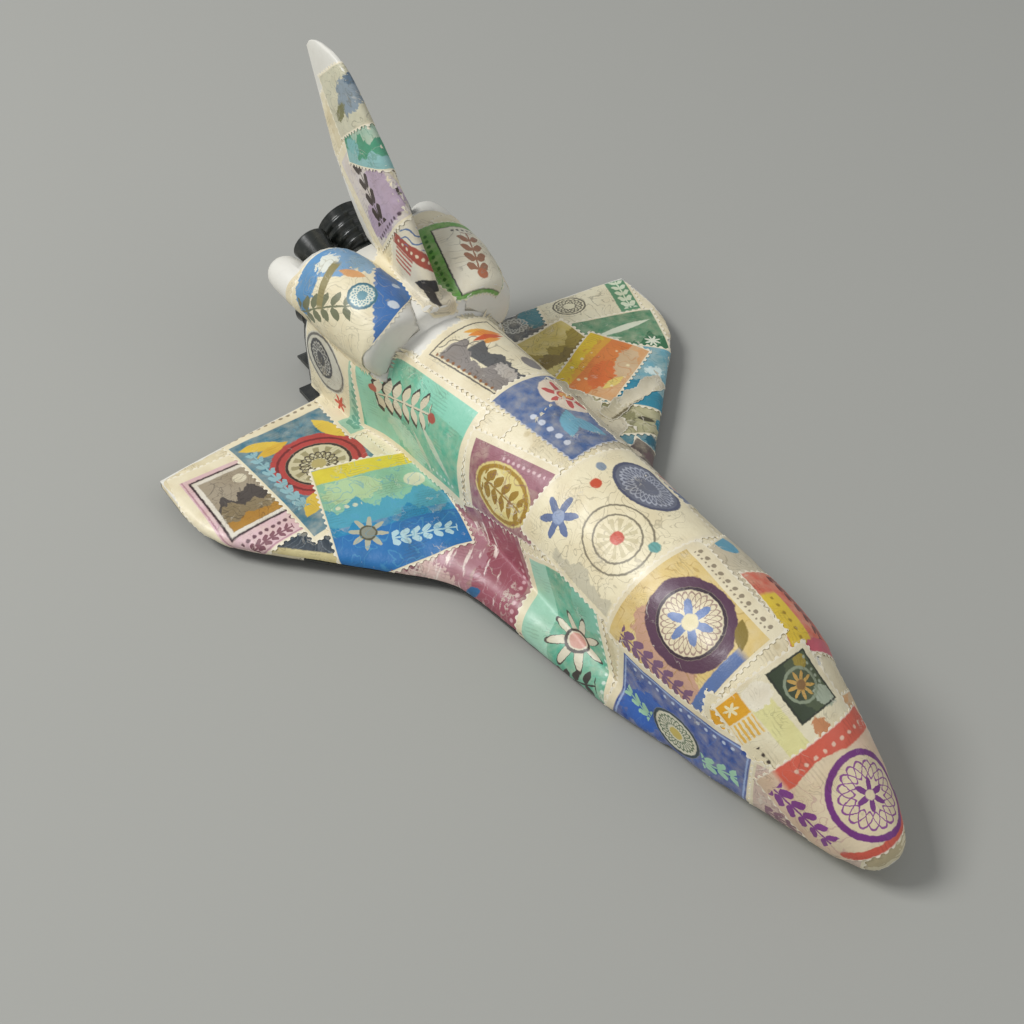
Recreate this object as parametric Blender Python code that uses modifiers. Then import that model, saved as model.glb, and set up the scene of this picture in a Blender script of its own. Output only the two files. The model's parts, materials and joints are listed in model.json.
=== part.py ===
# A plastic toy space shuttle, about 208 mm long: a white hull, wings, fin and pods on a black
# belly moulding, black engines, and two pairs of small wheels on steel axles under the belly.
#
# Frame: metres, +Z up, nose towards -Y, port wing towards +X. The origin is on the floor, at the
# middle of the toy's length and span.
#
# The tables are in millimetres. "station" is the distance aft of the nose tip, "lateral" the
# distance from the centre plane and "height" the distance above the belly's flat underside.

import math

import bmesh
import bpy
import numpy as np
from mathutils import Matrix, Vector

MM = 0.001

# Driving dimensions
LENGTH = 208.0
HALF_SPAN = 68.0
BELLY_CLEARANCE = 1.2  # the belly above the floor
GAP = 0.3  # between two pieces that touch
SPLIT_HEIGHT = 1.6  # top of the black belly moulding
BODY_END = 184.0  # station of the hull's rear edge
WING_SLOPE = math.tan(math.radians(3.0))  # how fast the wings rise outboard
FAR = 400.0  # reach of a cutter that takes everything on one side
BELOW = -1.0  # height where a cutter for the underside starts

# Hull sections. The raised deck that carries the fin starts at the step near 153.
# slices: how many steps the loft takes to the next row.
HULL = (
    # station, half width, bottom, top, corner radius, slices
    (0.0, 2.0, 5.6, 9.4, 1.6, 2),
    (1.2, 4.0, 3.9, 11.5, 3.0, 2),
    (4.0, 5.7, 2.7, 13.7, 4.2, 2),
    (12.0, 8.8, 1.8, 18.6, 5.6, 2),
    (20.0, 11.0, 1.2, 23.0, 6.0, 2),
    (28.0, 12.7, 0.6, 27.8, 5.6, 2),
    (34.0, 13.8, 0.2, 31.4, 4.6, 2),
    (40.0, 14.8, 0.0, 33.5, 3.6, 2),
    (50.0, 16.0, 0.0, 34.4, 3.0, 2),
    (60.0, 16.4, 0.0, 34.4, 2.6, 1),
    (75.0, 16.4, 0.0, 34.2, 2.4, 1),
    (110.0, 16.3, 0.0, 33.8, 2.4, 1),
    (146.0, 16.5, 0.0, 33.5, 2.4, 2),
    (153.4, 17.3, 0.0, 33.5, 2.4, 1),
    (153.8, 17.4, 0.0, 37.2, 2.4, 1),
    (154.8, 17.6, 0.0, 38.2, 2.4, 2),
    (166.0, 19.8, 0.0, 38.3, 2.4, 2),
    (BODY_END, 20.8, 0.0, 37.0, 2.4, 1),
)
CORNER_STEPS = 4
CROWN_STEPS = 9
SQUARE_CORNER = 0.2

# Wing planform: a long strake, then the main panel.
WING_BEND = 16.4  # lateral where the wing starts to rise
WING = (
    # lateral, front station, rear station, thickness of the white panel
    (10.0, 44.0, 179.4, 5.8),
    (15.4, 48.0, 179.0, 5.8),
    (17.6, 56.0, 178.7, 5.7),
    (19.7, 64.5, 178.4, 5.4),
    (21.7, 76.0, 178.2, 5.1),
    (23.6, 88.0, 177.9, 4.8),
    (25.4, 99.0, 177.7, 4.6),
    (27.2, 106.2, 177.5, 4.4),
    (30.0, 110.6, 177.1, 4.1),
    (36.0, 116.6, 176.4, 3.6),
    (50.0, 130.6, 174.5, 2.5),
    (60.0, 140.8, 173.0, 1.7),
    (64.2, 146.0, 172.3, 1.3),
    (66.8, 152.0, 171.8, 1.1),
    (HALF_SPAN, 159.0, 171.6, 0.9),
)
WING_EDGE = 0.5  # least thickness, at the front and rear edges
CHORD_STEPS = 12
SLAB_TIP = 1.1  # thickness of the black underside at the wing tip
SLAB_STEP = 0.1  # the wing's underside above the belly's
SLAB_LIP = 0.6  # share of the slab's thickness that its front edge turns up over
TAIL_TAB = (12.0, 23.6, 176.0, 185.2)  # black tab inboard of the wing: lateral from, to, station from, to

FIN = (
    # height, front station, rear station, thickness
    (34.0, 154.4, 182.0, 3.8),
    (38.0, 154.8, 186.8, 3.8),
    (41.0, 156.2, 189.8, 3.7),
    (45.0, 159.0, 193.0, 3.6),
    (55.0, 167.2, 199.4, 3.2),
    (66.0, 177.0, 203.4, 2.7),
    (75.0, 185.4, 206.8, 2.2),
    (78.4, 188.8, LENGTH, 1.9),
    (80.2, 191.2, 206.6, 1.6),
    (81.3, 194.0, 204.0, 1.3),
    (81.8, 196.8, 201.4, 0.9),
)
FIN_EDGE = 0.7

# Each pod: a blunt barrel, and a bare tail that goes on past the nozzle.
POD_BARREL = (
    # station, lateral, height, radius
    (153.5, 11.4, 30.0, 6.4),
    (153.9, 11.4, 30.2, 7.8),
    (155.2, 11.5, 30.4, 8.7),
    (161.0, 11.9, 31.4, 9.6),
    (168.0, 12.4, 32.0, 10.2),
    (176.0, 12.8, 31.8, 10.2),
    (183.0, 13.2, 31.0, 9.7),
    (185.6, 13.4, 30.6, 9.0),
)
POD_TAIL = (
    # station, lateral, height, radius
    (172.0, 16.0, 31.4, 5.6),
    (179.0, 18.4, 31.8, 5.4),
    (185.0, 19.6, 31.9, 5.0),
    (190.0, 20.0, 31.7, 4.7),
    (193.2, 20.0, 31.4, 4.3),
    (194.8, 20.0, 31.2, 3.5),
    (195.4, 20.0, 31.1, 2.2),
)
POD_SIDES = 24

# Engine bulkhead: the plate at the hull's rear
BULKHEAD = (BODY_END + GAP, BODY_END + 1.8)  # front and rear station
BULKHEAD_INSET = 0.6

# Engines: the place of each bell's mouth, and its axis tilted up from straight aft.
ENGINES = (
    # name, lateral, station of the mouth, height of the mouth, degrees up, degrees outward
    ("main_engine_top", 0.0, 198.8, 34.2, 14.0, 0.0),
    ("main_engine_port", 8.8, 198.5, 14.4, 8.0, 3.0),
    ("main_engine_starboard", -8.8, 198.5, 14.4, 8.0, -3.0),
)
BELL_RADIUS = 7.3
BELL_LENGTH = 10.6
BELL_NECK = 4.4
BELL_FLARE = 0.8  # 1 is a straight cone, less is a rounder bell
BELL_LIP = 1.2
BELL_SHOULDER = 0.6
BELL_INSIDE = (2.0, 4.5, 7.0, 8.5)  # depths of the inner wall's points
BELL_FLOOR = 9.2  # depth of the inner end
INNER_TAPER = 0.03  # how much the wall thickens per unit of depth
FIRST_RIB = 2.8
BELL_RIBS = 4
RIB_PITCH = 2.2
RIB_WIDTH = 0.9
RIB_HEIGHT = 0.4
SPIGOT_RADIUS = 3.6
SPIGOT_LENGTH = 6.0
WALL = 0.7
NOZZLES = (
    # name, lateral, station of the mouth, height of the mouth, degrees up, degrees outward
    ("pod_nozzle_port", 11.6, 194.4, 35.6, 14.0, 2.0),
    ("pod_nozzle_starboard", -11.6, 194.4, 35.6, 14.0, -2.0),
)
NOZZLE_RADIUS = 4.7
NOZZLE_LENGTH = 8.8
NOZZLE_NECK = 3.0
NOZZLE_FLARE = 0.75
NOZZLE_SPIGOT = 3.0
NOZZLE_OUTSIDE = (0.2, 0.4, 0.6, 0.8, 1.0)  # shares of the way from neck to mouth
NOZZLE_INSIDE = (1.0, 0.75, 0.5, 0.3)
NOZZLE_FLOOR = 6.6

# Body flap: a black tongue under the engines.
FLAP_HALF_WIDTH = 17.4
FLAP_STATIONS = (BULKHEAD[1] + GAP, 197.4)
FLAP_THICKNESS = (2.2, 1.0)  # front, rear
FLAP_EDGE = 0.7  # share of the rear thickness left at the very edge

# Wheels
WHEEL_RADIUS = 3.2
AXLE_RADIUS = 0.8
BEARING_RADIUS = AXLE_RADIUS + GAP
WHEEL_ROOM = 0.7  # between a wheel and its well
BEARING_TOP = 4.2  # height of the bearing blocks
BEARING_HALF_LENGTH = 2.4
AXLE_SHORT = 0.6  # how much shorter the axle is than the distance over its wheels
AXLES = (
    # name, station, wheel lateral, wheel width, bearing laterals, bearing width
    ("nose", 36.0, 4.6, 2.4, (0.0,), 4.6),
    ("main", 136.0, 12.4, 3.0, (-7.0, 7.0), 4.0),
)
WHEEL_PROFILE = (
    # share of the radius, share of the half width
    (0.62, 0.7),
    (0.7, 1.0),
    (0.9, 1.0),
    (1.0, 0.7),
    (1.0, -0.7),
    (0.9, -1.0),
    (0.7, -1.0),
    (0.62, -0.7),
)
HUB_SHARE = 0.7  # half width of the wheel at its bore, as a share
TURNED_STEPS = 24
SHARP_ANGLE = 35.0


def clear_scene():
    for old in list(bpy.data.objects):
        bpy.data.objects.remove(old, do_unlink=True)


def new_collection(name):
    made = bpy.data.collections.new(name)
    bpy.context.scene.collection.children.link(made)
    return made


clear_scene()
PARTS = new_collection("toy_shuttle")
CUTTERS = new_collection("cutters")


def make_material(name, finish):
    material = bpy.data.materials.new(name)
    material.use_nodes = True
    shader = material.node_tree.nodes["Principled BSDF"]
    shader.inputs["Base Color"].default_value = (*finish["colour"], 1.0)
    shader.inputs["Roughness"].default_value = finish["roughness"]
    shader.inputs["Metallic"].default_value = finish["metallic"]
    return material


# Finishes, with linear colours
WHITE = {"name": "white_plastic", "colour": (0.72, 0.72, 0.69), "roughness": 0.38, "metallic": 0.0}
BLACK = {"name": "black_plastic", "colour": (0.012, 0.012, 0.013), "roughness": 0.32, "metallic": 0.0}
STEEL = {"name": "axle_steel", "colour": (0.55, 0.55, 0.55), "roughness": 0.3, "metallic": 1.0}


def place(station, lateral, height):
    # From the toy's own measures to the frame's metres.
    return Vector((lateral * MM, (station - LENGTH / 2) * MM, (height + BELLY_CLEARANCE) * MM))


def add_object(name, mesh, finish):
    # finish None makes a cutter, which isn't part of the toy.
    made = bpy.data.objects.new(name, mesh)
    if finish is None:
        CUTTERS.objects.link(made)
        made.hide_render = True
        made.display_type = "WIRE"
    else:
        PARTS.objects.link(made)
        mesh.materials.append(make_material(f"{name}_{finish['name']}", finish))
    return made


def smooth(made):
    made.data.shade_smooth()
    made.data.set_sharp_from_angle(angle=math.radians(SHARP_ANGLE))


def eased_rows(table):
    # A smooth curve through each column of the table, sliced as its last column says.
    rows = np.array([row[:-1] for row in table], float)
    stations, values = rows[:, 0], rows[:, 1:]
    steps = np.diff(stations)[:, None]
    slopes = np.diff(values, axis=0) / steps
    tangents = np.zeros_like(values)
    tangents[0], tangents[-1] = slopes[0], slopes[-1]
    same_way = slopes[:-1] * slopes[1:] > 0
    weights = steps[:-1] + steps[1:]
    with np.errstate(divide="ignore", invalid="ignore"):
        harmonic = 3 * weights / (
            (steps[:-1] + 2 * steps[1:]) / slopes[:-1] + (2 * steps[:-1] + steps[1:]) / slopes[1:]
        )
    tangents[1:-1] = np.where(same_way, harmonic, 0.0)
    out = []
    for i, row in enumerate(table[:-1]):
        for j in range(row[-1]):
            t = j / row[-1]
            wide = steps[i, 0]
            out.append(
                (stations[i] + t * wide,
                 *((2 * t**3 - 3 * t**2 + 1) * values[i] + (t**3 - 2 * t**2 + t) * wide * tangents[i]
                   + (3 * t**2 - 2 * t**3) * values[i + 1] + (t**3 - t**2) * wide * tangents[i + 1]))
            )
    out.append((stations[-1], *values[-1]))
    return out


def loft(name, rings, finish):
    # A closed skin through rings of points, all of one length, with a flat cap at each end.
    mesh = bpy.data.meshes.new(name)
    shape = bmesh.new()
    rows = [[shape.verts.new(point) for point in ring] for ring in rings]
    count = len(rows[0])
    for one, two in zip(rows[:-1], rows[1:]):
        for i in range(count):
            j = (i + 1) % count
            shape.faces.new((one[i], one[j], two[j], two[i]))
    shape.faces.new(rows[0])
    shape.faces.new(rows[-1])
    bmesh.ops.recalc_face_normals(shape, faces=shape.faces)
    shape.to_mesh(mesh)
    shape.free()
    return add_object(name, mesh, finish)


def box(name, stations, laterals, heights, finish=None):
    low = place(stations[0], laterals[0], heights[0])
    high = place(stations[1], laterals[1], heights[1])
    size = high - low
    mesh = bpy.data.meshes.new(name)
    shape = bmesh.new()
    bmesh.ops.create_cube(
        shape, size=1.0, matrix=Matrix.Translation((low + high) / 2) @ Matrix.Diagonal((*size, 1.0))
    )
    shape.to_mesh(mesh)
    shape.free()
    return add_object(name, mesh, finish)


def rod(name, radius, length, centre, finish=None):
    # A round bar across the toy, with its object's origin at its middle.
    mesh = bpy.data.meshes.new(name)
    shape = bmesh.new()
    bmesh.ops.create_cone(
        shape, cap_ends=True, segments=TURNED_STEPS, radius1=radius * MM, radius2=radius * MM,
        depth=length * MM, matrix=Matrix.Rotation(math.pi / 2, 4, "Y"),
    )
    shape.to_mesh(mesh)
    shape.free()
    made = add_object(name, mesh, finish)
    made.location = centre
    return made


def turned(name, profile, finish):
    # A profile of (radius, height) turned round Z. It starts and ends on the axis or closes on itself.
    mesh = bpy.data.meshes.new(name)
    points = [(radius * MM, 0.0, height * MM) for radius, height in profile]
    edges = [(i, i + 1) for i in range(len(points) - 1)]
    mesh.from_pydata(points, edges, [])
    made = add_object(name, mesh, finish)
    screw = made.modifiers.new("turn", "SCREW")
    screw.axis = "Z"
    screw.steps = TURNED_STEPS
    screw.render_steps = TURNED_STEPS
    screw.use_merge_vertices = True
    screw.merge_threshold = 0.00001
    screw.use_smooth_shade = True
    return made


def boolean(target, other, operation="DIFFERENCE"):
    cut = target.modifiers.new(f"{operation.lower()}_{other.name}", "BOOLEAN")
    cut.operation = operation
    cut.solver = "EXACT"
    cut.object = other


def hull_ring(row, grow=0.0, square=False):
    # Flat belly, small lower corners, upright sides and a round top.
    station, half_width, bottom, top, corner = row
    half_width, bottom, top = half_width + grow, bottom - grow, top + grow
    corner = SQUARE_CORNER if square else corner
    shoulder = max(top - half_width, bottom + corner)
    side = []
    for angle in np.linspace(-math.pi / 2, 0, CORNER_STEPS + 1)[:-1]:
        side.append((half_width - corner + corner * math.cos(angle), bottom + corner + corner * math.sin(angle)))
    for angle in np.linspace(0, math.pi / 2, CROWN_STEPS + 1):
        side.append((half_width * math.cos(angle), shoulder + (top - shoulder) * math.sin(angle)))
    around = side + [(-lateral, height) for lateral, height in side[-2::-1]]
    return [place(station, lateral, height) for lateral, height in around]


def hull(name, finish, grow=0.0, square=False):
    rows = eased_rows(HULL)
    if square:
        rows.append((BODY_END + FAR, *rows[-1][1:]))
    return loft(name, [hull_ring(row, grow, square) for row in rows], finish)


def half_space(name, limit, above):
    heights = (limit, FAR) if above else (-FAR, limit)
    return box(name, (-FAR, FAR + LENGTH), (-FAR, FAR), heights)


def wing_rise(lateral):
    return max(0.0, lateral - WING_BEND) * WING_SLOPE


def slab_thickness(lateral):
    return SPLIT_HEIGHT - SLAB_STEP + (SLAB_TIP - SPLIT_HEIGHT + SLAB_STEP) * wing_rise(lateral) / wing_rise(HALF_SPAN)


def foil(share):
    # Thickness along the chord, 1 at its fullest.
    bulge = 2.969 * math.sqrt(share) - 1.26 * share - 3.516 * share**2 + 2.843 * share**3 - 1.036 * share**4
    return max(bulge, 0.0)


def wing_panel(name, side):
    rings = []
    for lateral, front, rear, thickness in WING:
        low = SLAB_STEP + wing_rise(lateral) + slab_thickness(lateral) + GAP
        chord = rear - front
        shares = [(1 - math.cos(math.pi * i / CHORD_STEPS)) / 2 for i in range(CHORD_STEPS + 1)]
        top = [
            (front + share * chord, low + WING_EDGE + (thickness - WING_EDGE) * foil(share))
            for share in shares
        ]
        ring = [(rear, low), (front, low)] + top
        rings.append([place(station, side * lateral, height) for station, height in ring])
    return loft(name, rings, WHITE)


def wing_slab(name, side):
    # The black underside of one wing, with its front edge turned up a little.
    rings = []
    for lateral, front, rear, _ in WING:
        low = SLAB_STEP + wing_rise(lateral)
        high = low + slab_thickness(lateral)
        lip = (high - low) * SLAB_LIP
        ring = [(rear, low), (front + lip, low), (front, low + lip), (front, high), (rear, high)]
        rings.append([place(station, side * lateral, height) for station, height in ring])
    return loft(name, rings, None)


def tail_tab(name, side):
    inner, outer, front, rear = TAIL_TAB
    return box(name, (front, rear), sorted((side * inner, side * outer)), (SLAB_STEP * 2, SPLIT_HEIGHT - SLAB_STEP))


def ring_of(station, lateral, height, radius, sides):
    turns = [2 * math.pi * i / sides for i in range(sides)]
    return [place(station, lateral + radius * math.cos(turn), height + radius * math.sin(turn)) for turn in turns]


def pod(name, side, finish, grow=0.0):
    barrel, tail = (
        [ring_of(s, side * lateral, height, radius + grow, POD_SIDES) for s, lateral, height, radius in table]
        for table in (POD_BARREL, POD_TAIL)
    )
    made = loft(name, barrel, finish)
    tail_core = loft(f"{name}_tail_core", tail, None)
    boolean(made, tail_core, "UNION")
    return made


def fin(name):
    rings = []
    for height, front, rear, thickness in FIN:
        chord = rear - front
        half = []
        for i in range(CHORD_STEPS + 1):
            share = (1 - math.cos(math.pi * i / CHORD_STEPS)) / 2
            half.append((front + share * chord, (FIN_EDGE + (thickness - FIN_EDGE) * foil(share)) / 2))
        ring = half + [(station, -lateral) for station, lateral in reversed(half)]
        rings.append([place(station, lateral, height) for station, lateral in ring])
    return loft(name, rings, WHITE)


def aim(made, row):
    # Puts a turned bell's mouth at its place. Its local -Z runs aft.
    _, lateral, station, height, up, outward = row
    made.location = place(station, lateral, height)
    made.rotation_euler = (math.pi / 2 + math.radians(up), 0.0, -math.radians(outward))


def bell_radius(height):
    return BELL_NECK + (BELL_RADIUS - BELL_NECK) * (1 - height / BELL_LENGTH) ** BELL_FLARE


def ribbed_bell():
    # From the front of the spigot, down the ribbed outside to the mouth at height 0, then back inside.
    back = BELL_LENGTH + SPIGOT_LENGTH
    profile = [(0.0, back), (SPIGOT_RADIUS, back)]
    profile += [(SPIGOT_RADIUS, BELL_LENGTH + BELL_SHOULDER), (BELL_NECK, BELL_LENGTH)]
    for i in reversed(range(BELL_RIBS)):
        middle = FIRST_RIB + i * RIB_PITCH
        for share, lift in ((0.5, 0.0), (0.25, 1.0), (-0.25, 1.0), (-0.5, 0.0)):
            height = middle + share * RIB_WIDTH
            profile.append((bell_radius(height) + lift * RIB_HEIGHT, height))
    profile += [(bell_radius(BELL_LIP), BELL_LIP), (BELL_RADIUS, 0.0), (BELL_RADIUS - WALL, 0.0)]
    profile += [(bell_radius(depth) - WALL - INNER_TAPER * depth, depth) for depth in BELL_INSIDE]
    profile.append((0.0, BELL_FLOOR))
    return profile


def nozzle_radius(share):
    return NOZZLE_NECK + (NOZZLE_RADIUS - NOZZLE_NECK) * share**NOZZLE_FLARE


def plain_bell():
    back = NOZZLE_LENGTH + NOZZLE_SPIGOT
    profile = [(0.0, back), (NOZZLE_NECK, back), (NOZZLE_NECK, NOZZLE_LENGTH)]
    profile += [(nozzle_radius(share), NOZZLE_LENGTH * (1 - share)) for share in NOZZLE_OUTSIDE]
    profile += [(nozzle_radius(share) - WALL, NOZZLE_LENGTH * (1 - share)) for share in NOZZLE_INSIDE]
    profile.append((0.0, NOZZLE_FLOOR))
    return profile


def wheel(name, width, finish):
    # A plain tyre shape with a dished hub, bored for the axle.
    half, bore = width / 2, BEARING_RADIUS
    profile = [(bore, half * HUB_SHARE)]
    profile += [(WHEEL_RADIUS * out, half * along) for out, along in WHEEL_PROFILE]
    profile += [(bore, -half * HUB_SHARE), (bore, half * HUB_SHARE)]
    return turned(name, profile, finish)


def build_hull_and_belly():
    over = half_space("cutter_above_split", SPLIT_HEIGHT, above=True)
    under = half_space("cutter_below_split", SPLIT_HEIGHT + GAP, above=False)
    shell = hull("hull_shell", WHITE)
    boolean(shell, under)
    belly = hull("belly_moulding", BLACK)
    boolean(belly, over)
    for label, side in (("port", 1), ("starboard", -1)):
        boolean(belly, wing_slab(f"wing_underside_{label}", side), "UNION")
        boolean(belly, tail_tab(f"tail_tab_{label}", side), "UNION")
    for label, station, wheel_lateral, width, bearings, bearing_width in AXLES:
        axle_height = WHEEL_RADIUS - BELLY_CLEARANCE
        reach = WHEEL_RADIUS + WHEEL_ROOM
        outer = wheel_lateral + width / 2 + WHEEL_ROOM
        room_top = max(axle_height + reach, BEARING_TOP + WHEEL_ROOM)
        pocket = box(f"cutter_{label}_pocket", (station - reach, station + reach), (-outer, outer), (BELOW, room_top))
        boolean(shell, pocket)
        for bearing in bearings:
            ends = (bearing - bearing_width / 2, bearing + bearing_width / 2)
            block = box(
                f"{label}_bearing_{ends[0]:.0f}", (station - BEARING_HALF_LENGTH, station + BEARING_HALF_LENGTH),
                ends, (SPLIT_HEIGHT / 2, BEARING_TOP),
            )
            boolean(belly, block, "UNION")
        for side in (1, -1):
            inner = side * (wheel_lateral - width / 2 - WHEEL_ROOM)
            slot = box(
                f"cutter_{label}_well_{side}", (station - reach, station + reach),
                sorted((inner, side * outer)), (BELOW, BEARING_TOP + WHEEL_ROOM),
            )
            boolean(belly, slot)
        bore = rod(f"cutter_{label}_bore", BEARING_RADIUS, 2 * outer, place(station, 0.0, axle_height))
        boolean(belly, bore)
    smooth(shell)
    smooth(belly)


def build_wings_and_fin(hull_room):
    for label, side in (("port", 1), ("starboard", -1)):
        panel = wing_panel(f"wing_{label}", side)
        boolean(panel, hull_room)
        smooth(panel)
    tail = fin("tail_fin")
    boolean(tail, hull_room)
    smooth(tail)


def build_pods(hull_room):
    rooms = []
    for label, side in (("port", 1), ("starboard", -1)):
        made = pod(f"pod_{label}", side, WHITE)
        boolean(made, hull_room)
        smooth(made)
        rooms.append(pod(f"cutter_pod_{label}_room", side, None, grow=GAP))
    return rooms


def build_rear(pod_rooms):
    end = eased_rows(HULL)[-1]
    plate = loft(
        "engine_bulkhead", [hull_ring((station, *end[1:]), grow=-BULKHEAD_INSET) for station in BULKHEAD], BLACK
    )
    boolean(plate, half_space("cutter_below_bulkhead", SPLIT_HEIGHT + GAP, above=False))
    for room in pod_rooms:
        boolean(plate, room)
    ahead = box("cutter_ahead_of_engines", (-FAR, BULKHEAD[1] + GAP), (-FAR, FAR), (-FAR, FAR))
    for row in ENGINES:
        bell = turned(row[0], ribbed_bell(), BLACK)
        aim(bell, row)
        boolean(bell, ahead)
    for row in NOZZLES:
        bell = turned(row[0], plain_bell(), BLACK)
        aim(bell, row)
        boolean(bell, box(f"cutter_ahead_of_{row[0]}", (-FAR, POD_BARREL[-1][0] + GAP), (-FAR, FAR), (-FAR, FAR)))
    front, rear = FLAP_STATIONS
    thick, thin = FLAP_THICKNESS
    half = FLAP_HALF_WIDTH
    rings = []
    for station, height in ((front, thick), (rear - thin, thin), (rear, thin * FLAP_EDGE)):
        corners = ((half, SLAB_STEP), (half, height), (-half, height), (-half, SLAB_STEP))
        rings.append([place(station, lateral, level) for lateral, level in corners])
    loft("body_flap", rings, BLACK)


def build_wheels():
    for label, station, wheel_lateral, width, _, _ in AXLES:
        centre = place(station, 0.0, WHEEL_RADIUS - BELLY_CLEARANCE)
        pivot = bpy.data.objects.new(f"{label}_axle_pivot", None)
        pivot.location = centre
        PARTS.objects.link(pivot)
        outer = wheel_lateral + width / 2
        axle = rod(f"{label}_axle", AXLE_RADIUS, 2 * outer - AXLE_SHORT, Vector((0.0, 0.0, 0.0)), STEEL)
        axle.parent = pivot
        smooth(axle)
        for side_name, side in (("port", 1), ("starboard", -1)):
            made = wheel(f"{label}_wheel_{side_name}", width, BLACK)
            made.location = (side * wheel_lateral * MM, 0.0, 0.0)
            made.rotation_euler = (0.0, math.pi / 2, 0.0)
            made.parent = pivot


def main():
    build_hull_and_belly()
    hull_room = hull("cutter_hull_room", None, grow=GAP, square=True)
    build_wings_and_fin(hull_room)
    build_rear(build_pods(hull_room))
    build_wheels()


main()
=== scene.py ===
import json
import math

import bmesh
import bpy
from mathutils import Euler, Matrix, Quaternion, Vector, kdtree, noise
from mathutils.bvhtree import BVHTree
from mathutils.geometry import delaunay_2d_cdt


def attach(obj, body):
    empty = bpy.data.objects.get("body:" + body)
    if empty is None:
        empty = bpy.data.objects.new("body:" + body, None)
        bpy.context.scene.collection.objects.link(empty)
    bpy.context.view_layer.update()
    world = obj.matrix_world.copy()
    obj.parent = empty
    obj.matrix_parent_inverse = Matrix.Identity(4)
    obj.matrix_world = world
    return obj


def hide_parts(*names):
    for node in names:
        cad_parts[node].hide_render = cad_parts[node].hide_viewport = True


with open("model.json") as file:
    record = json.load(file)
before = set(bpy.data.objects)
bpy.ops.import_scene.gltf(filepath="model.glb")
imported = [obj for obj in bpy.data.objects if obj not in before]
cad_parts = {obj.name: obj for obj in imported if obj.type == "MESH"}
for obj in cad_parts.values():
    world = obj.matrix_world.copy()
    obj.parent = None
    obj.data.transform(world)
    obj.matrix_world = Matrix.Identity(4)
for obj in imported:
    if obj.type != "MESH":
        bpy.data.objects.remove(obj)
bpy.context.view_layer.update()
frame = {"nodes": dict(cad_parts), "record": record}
nodes = frame["nodes"]
mm = 0.001
midStation, bellyHeight = 104.0, 1.2  # mm, from the nose tip and above the floor


def place(station, lateral, height):
    return Vector((lateral * mm, (station - midStation) * mm, (height + bellyHeight) * mm))


def linear(code):
    # sRGB hex to linear light
    parts = [int(code[i : i + 2], 16) / 255 for i in (1, 3, 5)]
    return (*[p / 12.92 if p <= 0.04045 else ((p + 0.055) / 1.055) ** 2.4 for p in parts], 1.0)


def addNode(tree, kind, *inputs, out=0, **named):
    # kind may end in the node's operation. Inputs come in the sockets' order or in a dictionary, as constants or
    # as other nodes' outputs; a name with a capital is a socket and any other is a setting. Gives one output,
    # or all of them where out is None.
    kind, _, operation = kind.partition(" ")
    made = tree.nodes.new(kind if "Node" in kind else "ShaderNode" + kind)
    if operation:
        made.operation = operation
    if inputs and isinstance(inputs[0], dict):
        values = dict(inputs[0])
    else:
        values = dict(enumerate(inputs))
    for key, value in named.items():
        if key[0].isupper():
            values[key] = value
        else:
            setattr(made, key, value)
    for key, value in values.items():
        if isinstance(value, bpy.types.NodeSocket):
            tree.links.new(value, made.inputs[key])
        else:
            made.inputs[key].default_value = value
    return made.outputs if out is None else made.outputs[out]


colours = {"data_type": "RGBA", "out": 2}  # makes a Mix node blend colours: factor 0, under 6 and over 7


def startMaterial(name):
    material = bpy.data.materials.new(name)
    material.use_nodes = True
    tree = material.node_tree
    return material, tree, tree.nodes["Principled BSDF"]


def setSurface(tree, shader, colour, rough, height, strength, depth):
    # depth in metres: how far the fine relief stands up at full height
    tree.links.new(colour, shader.inputs["Base Color"])
    tree.links.new(rough, shader.inputs["Roughness"])
    relief = addNode(tree, "Bump", Strength=strength, Distance=depth, Height=height)
    tree.links.new(relief, shader.inputs["Normal"])


def addObject(name, data):
    made = bpy.data.objects.new(name, data)
    bpy.context.scene.collection.objects.link(made)
    return made


def takeMesh(holder):
    # the mesh that an object's modifiers make; the object itself is cleared away
    made = bpy.data.meshes.new_from_object(holder.evaluated_get(bpy.context.evaluated_depsgraph_get()))
    bpy.data.objects.remove(holder)
    return made


def startTree(name, wholeNumbers, lengths):
    # a Geometry Nodes tree with named inputs; gives the tree and what comes in
    tree = bpy.data.node_groups.new(name, "GeometryNodeTree")
    sockets = [("Geometry", "Geometry")]
    sockets += [(label, "Int") for label in wholeNumbers] + [(label, "Float") for label in lengths]
    for label, kind in sockets + [("Material", "Material")]:
        tree.interface.new_socket(label, in_out="INPUT", socket_type="NodeSocket" + kind)
    tree.interface.new_socket("Geometry", in_out="OUTPUT", socket_type="NodeSocketGeometry")
    return tree, tree.nodes.new("NodeGroupInput").outputs


def endTree(tree, shape, material):
    real = addNode(tree, "GeometryNodeRealizeInstances", shape)
    dressed = addNode(tree, "GeometryNodeSetMaterial", {0: real, "Material": material})
    tree.links.new(dressed, tree.nodes.new("NodeGroupOutput").inputs[0])


def growMesh(holder, tree, values):
    # runs the tree on an object with these inputs
    growth = holder.modifiers.new(tree.name, "NODES")
    growth.node_group = tree
    for socket in tree.interface.items_tree:
        if socket.in_out == "INPUT" and socket.name in values:
            growth[socket.identifier] = values[socket.name]
    return takeMesh(holder)


def inMm(tree):
    # the object's own coordinates, in millimetres
    spot = addNode(tree, "TexCoord", out="Object")
    return addNode(tree, "VectorMath SCALE", {0: spot, "Scale": 1 / mm})


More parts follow.
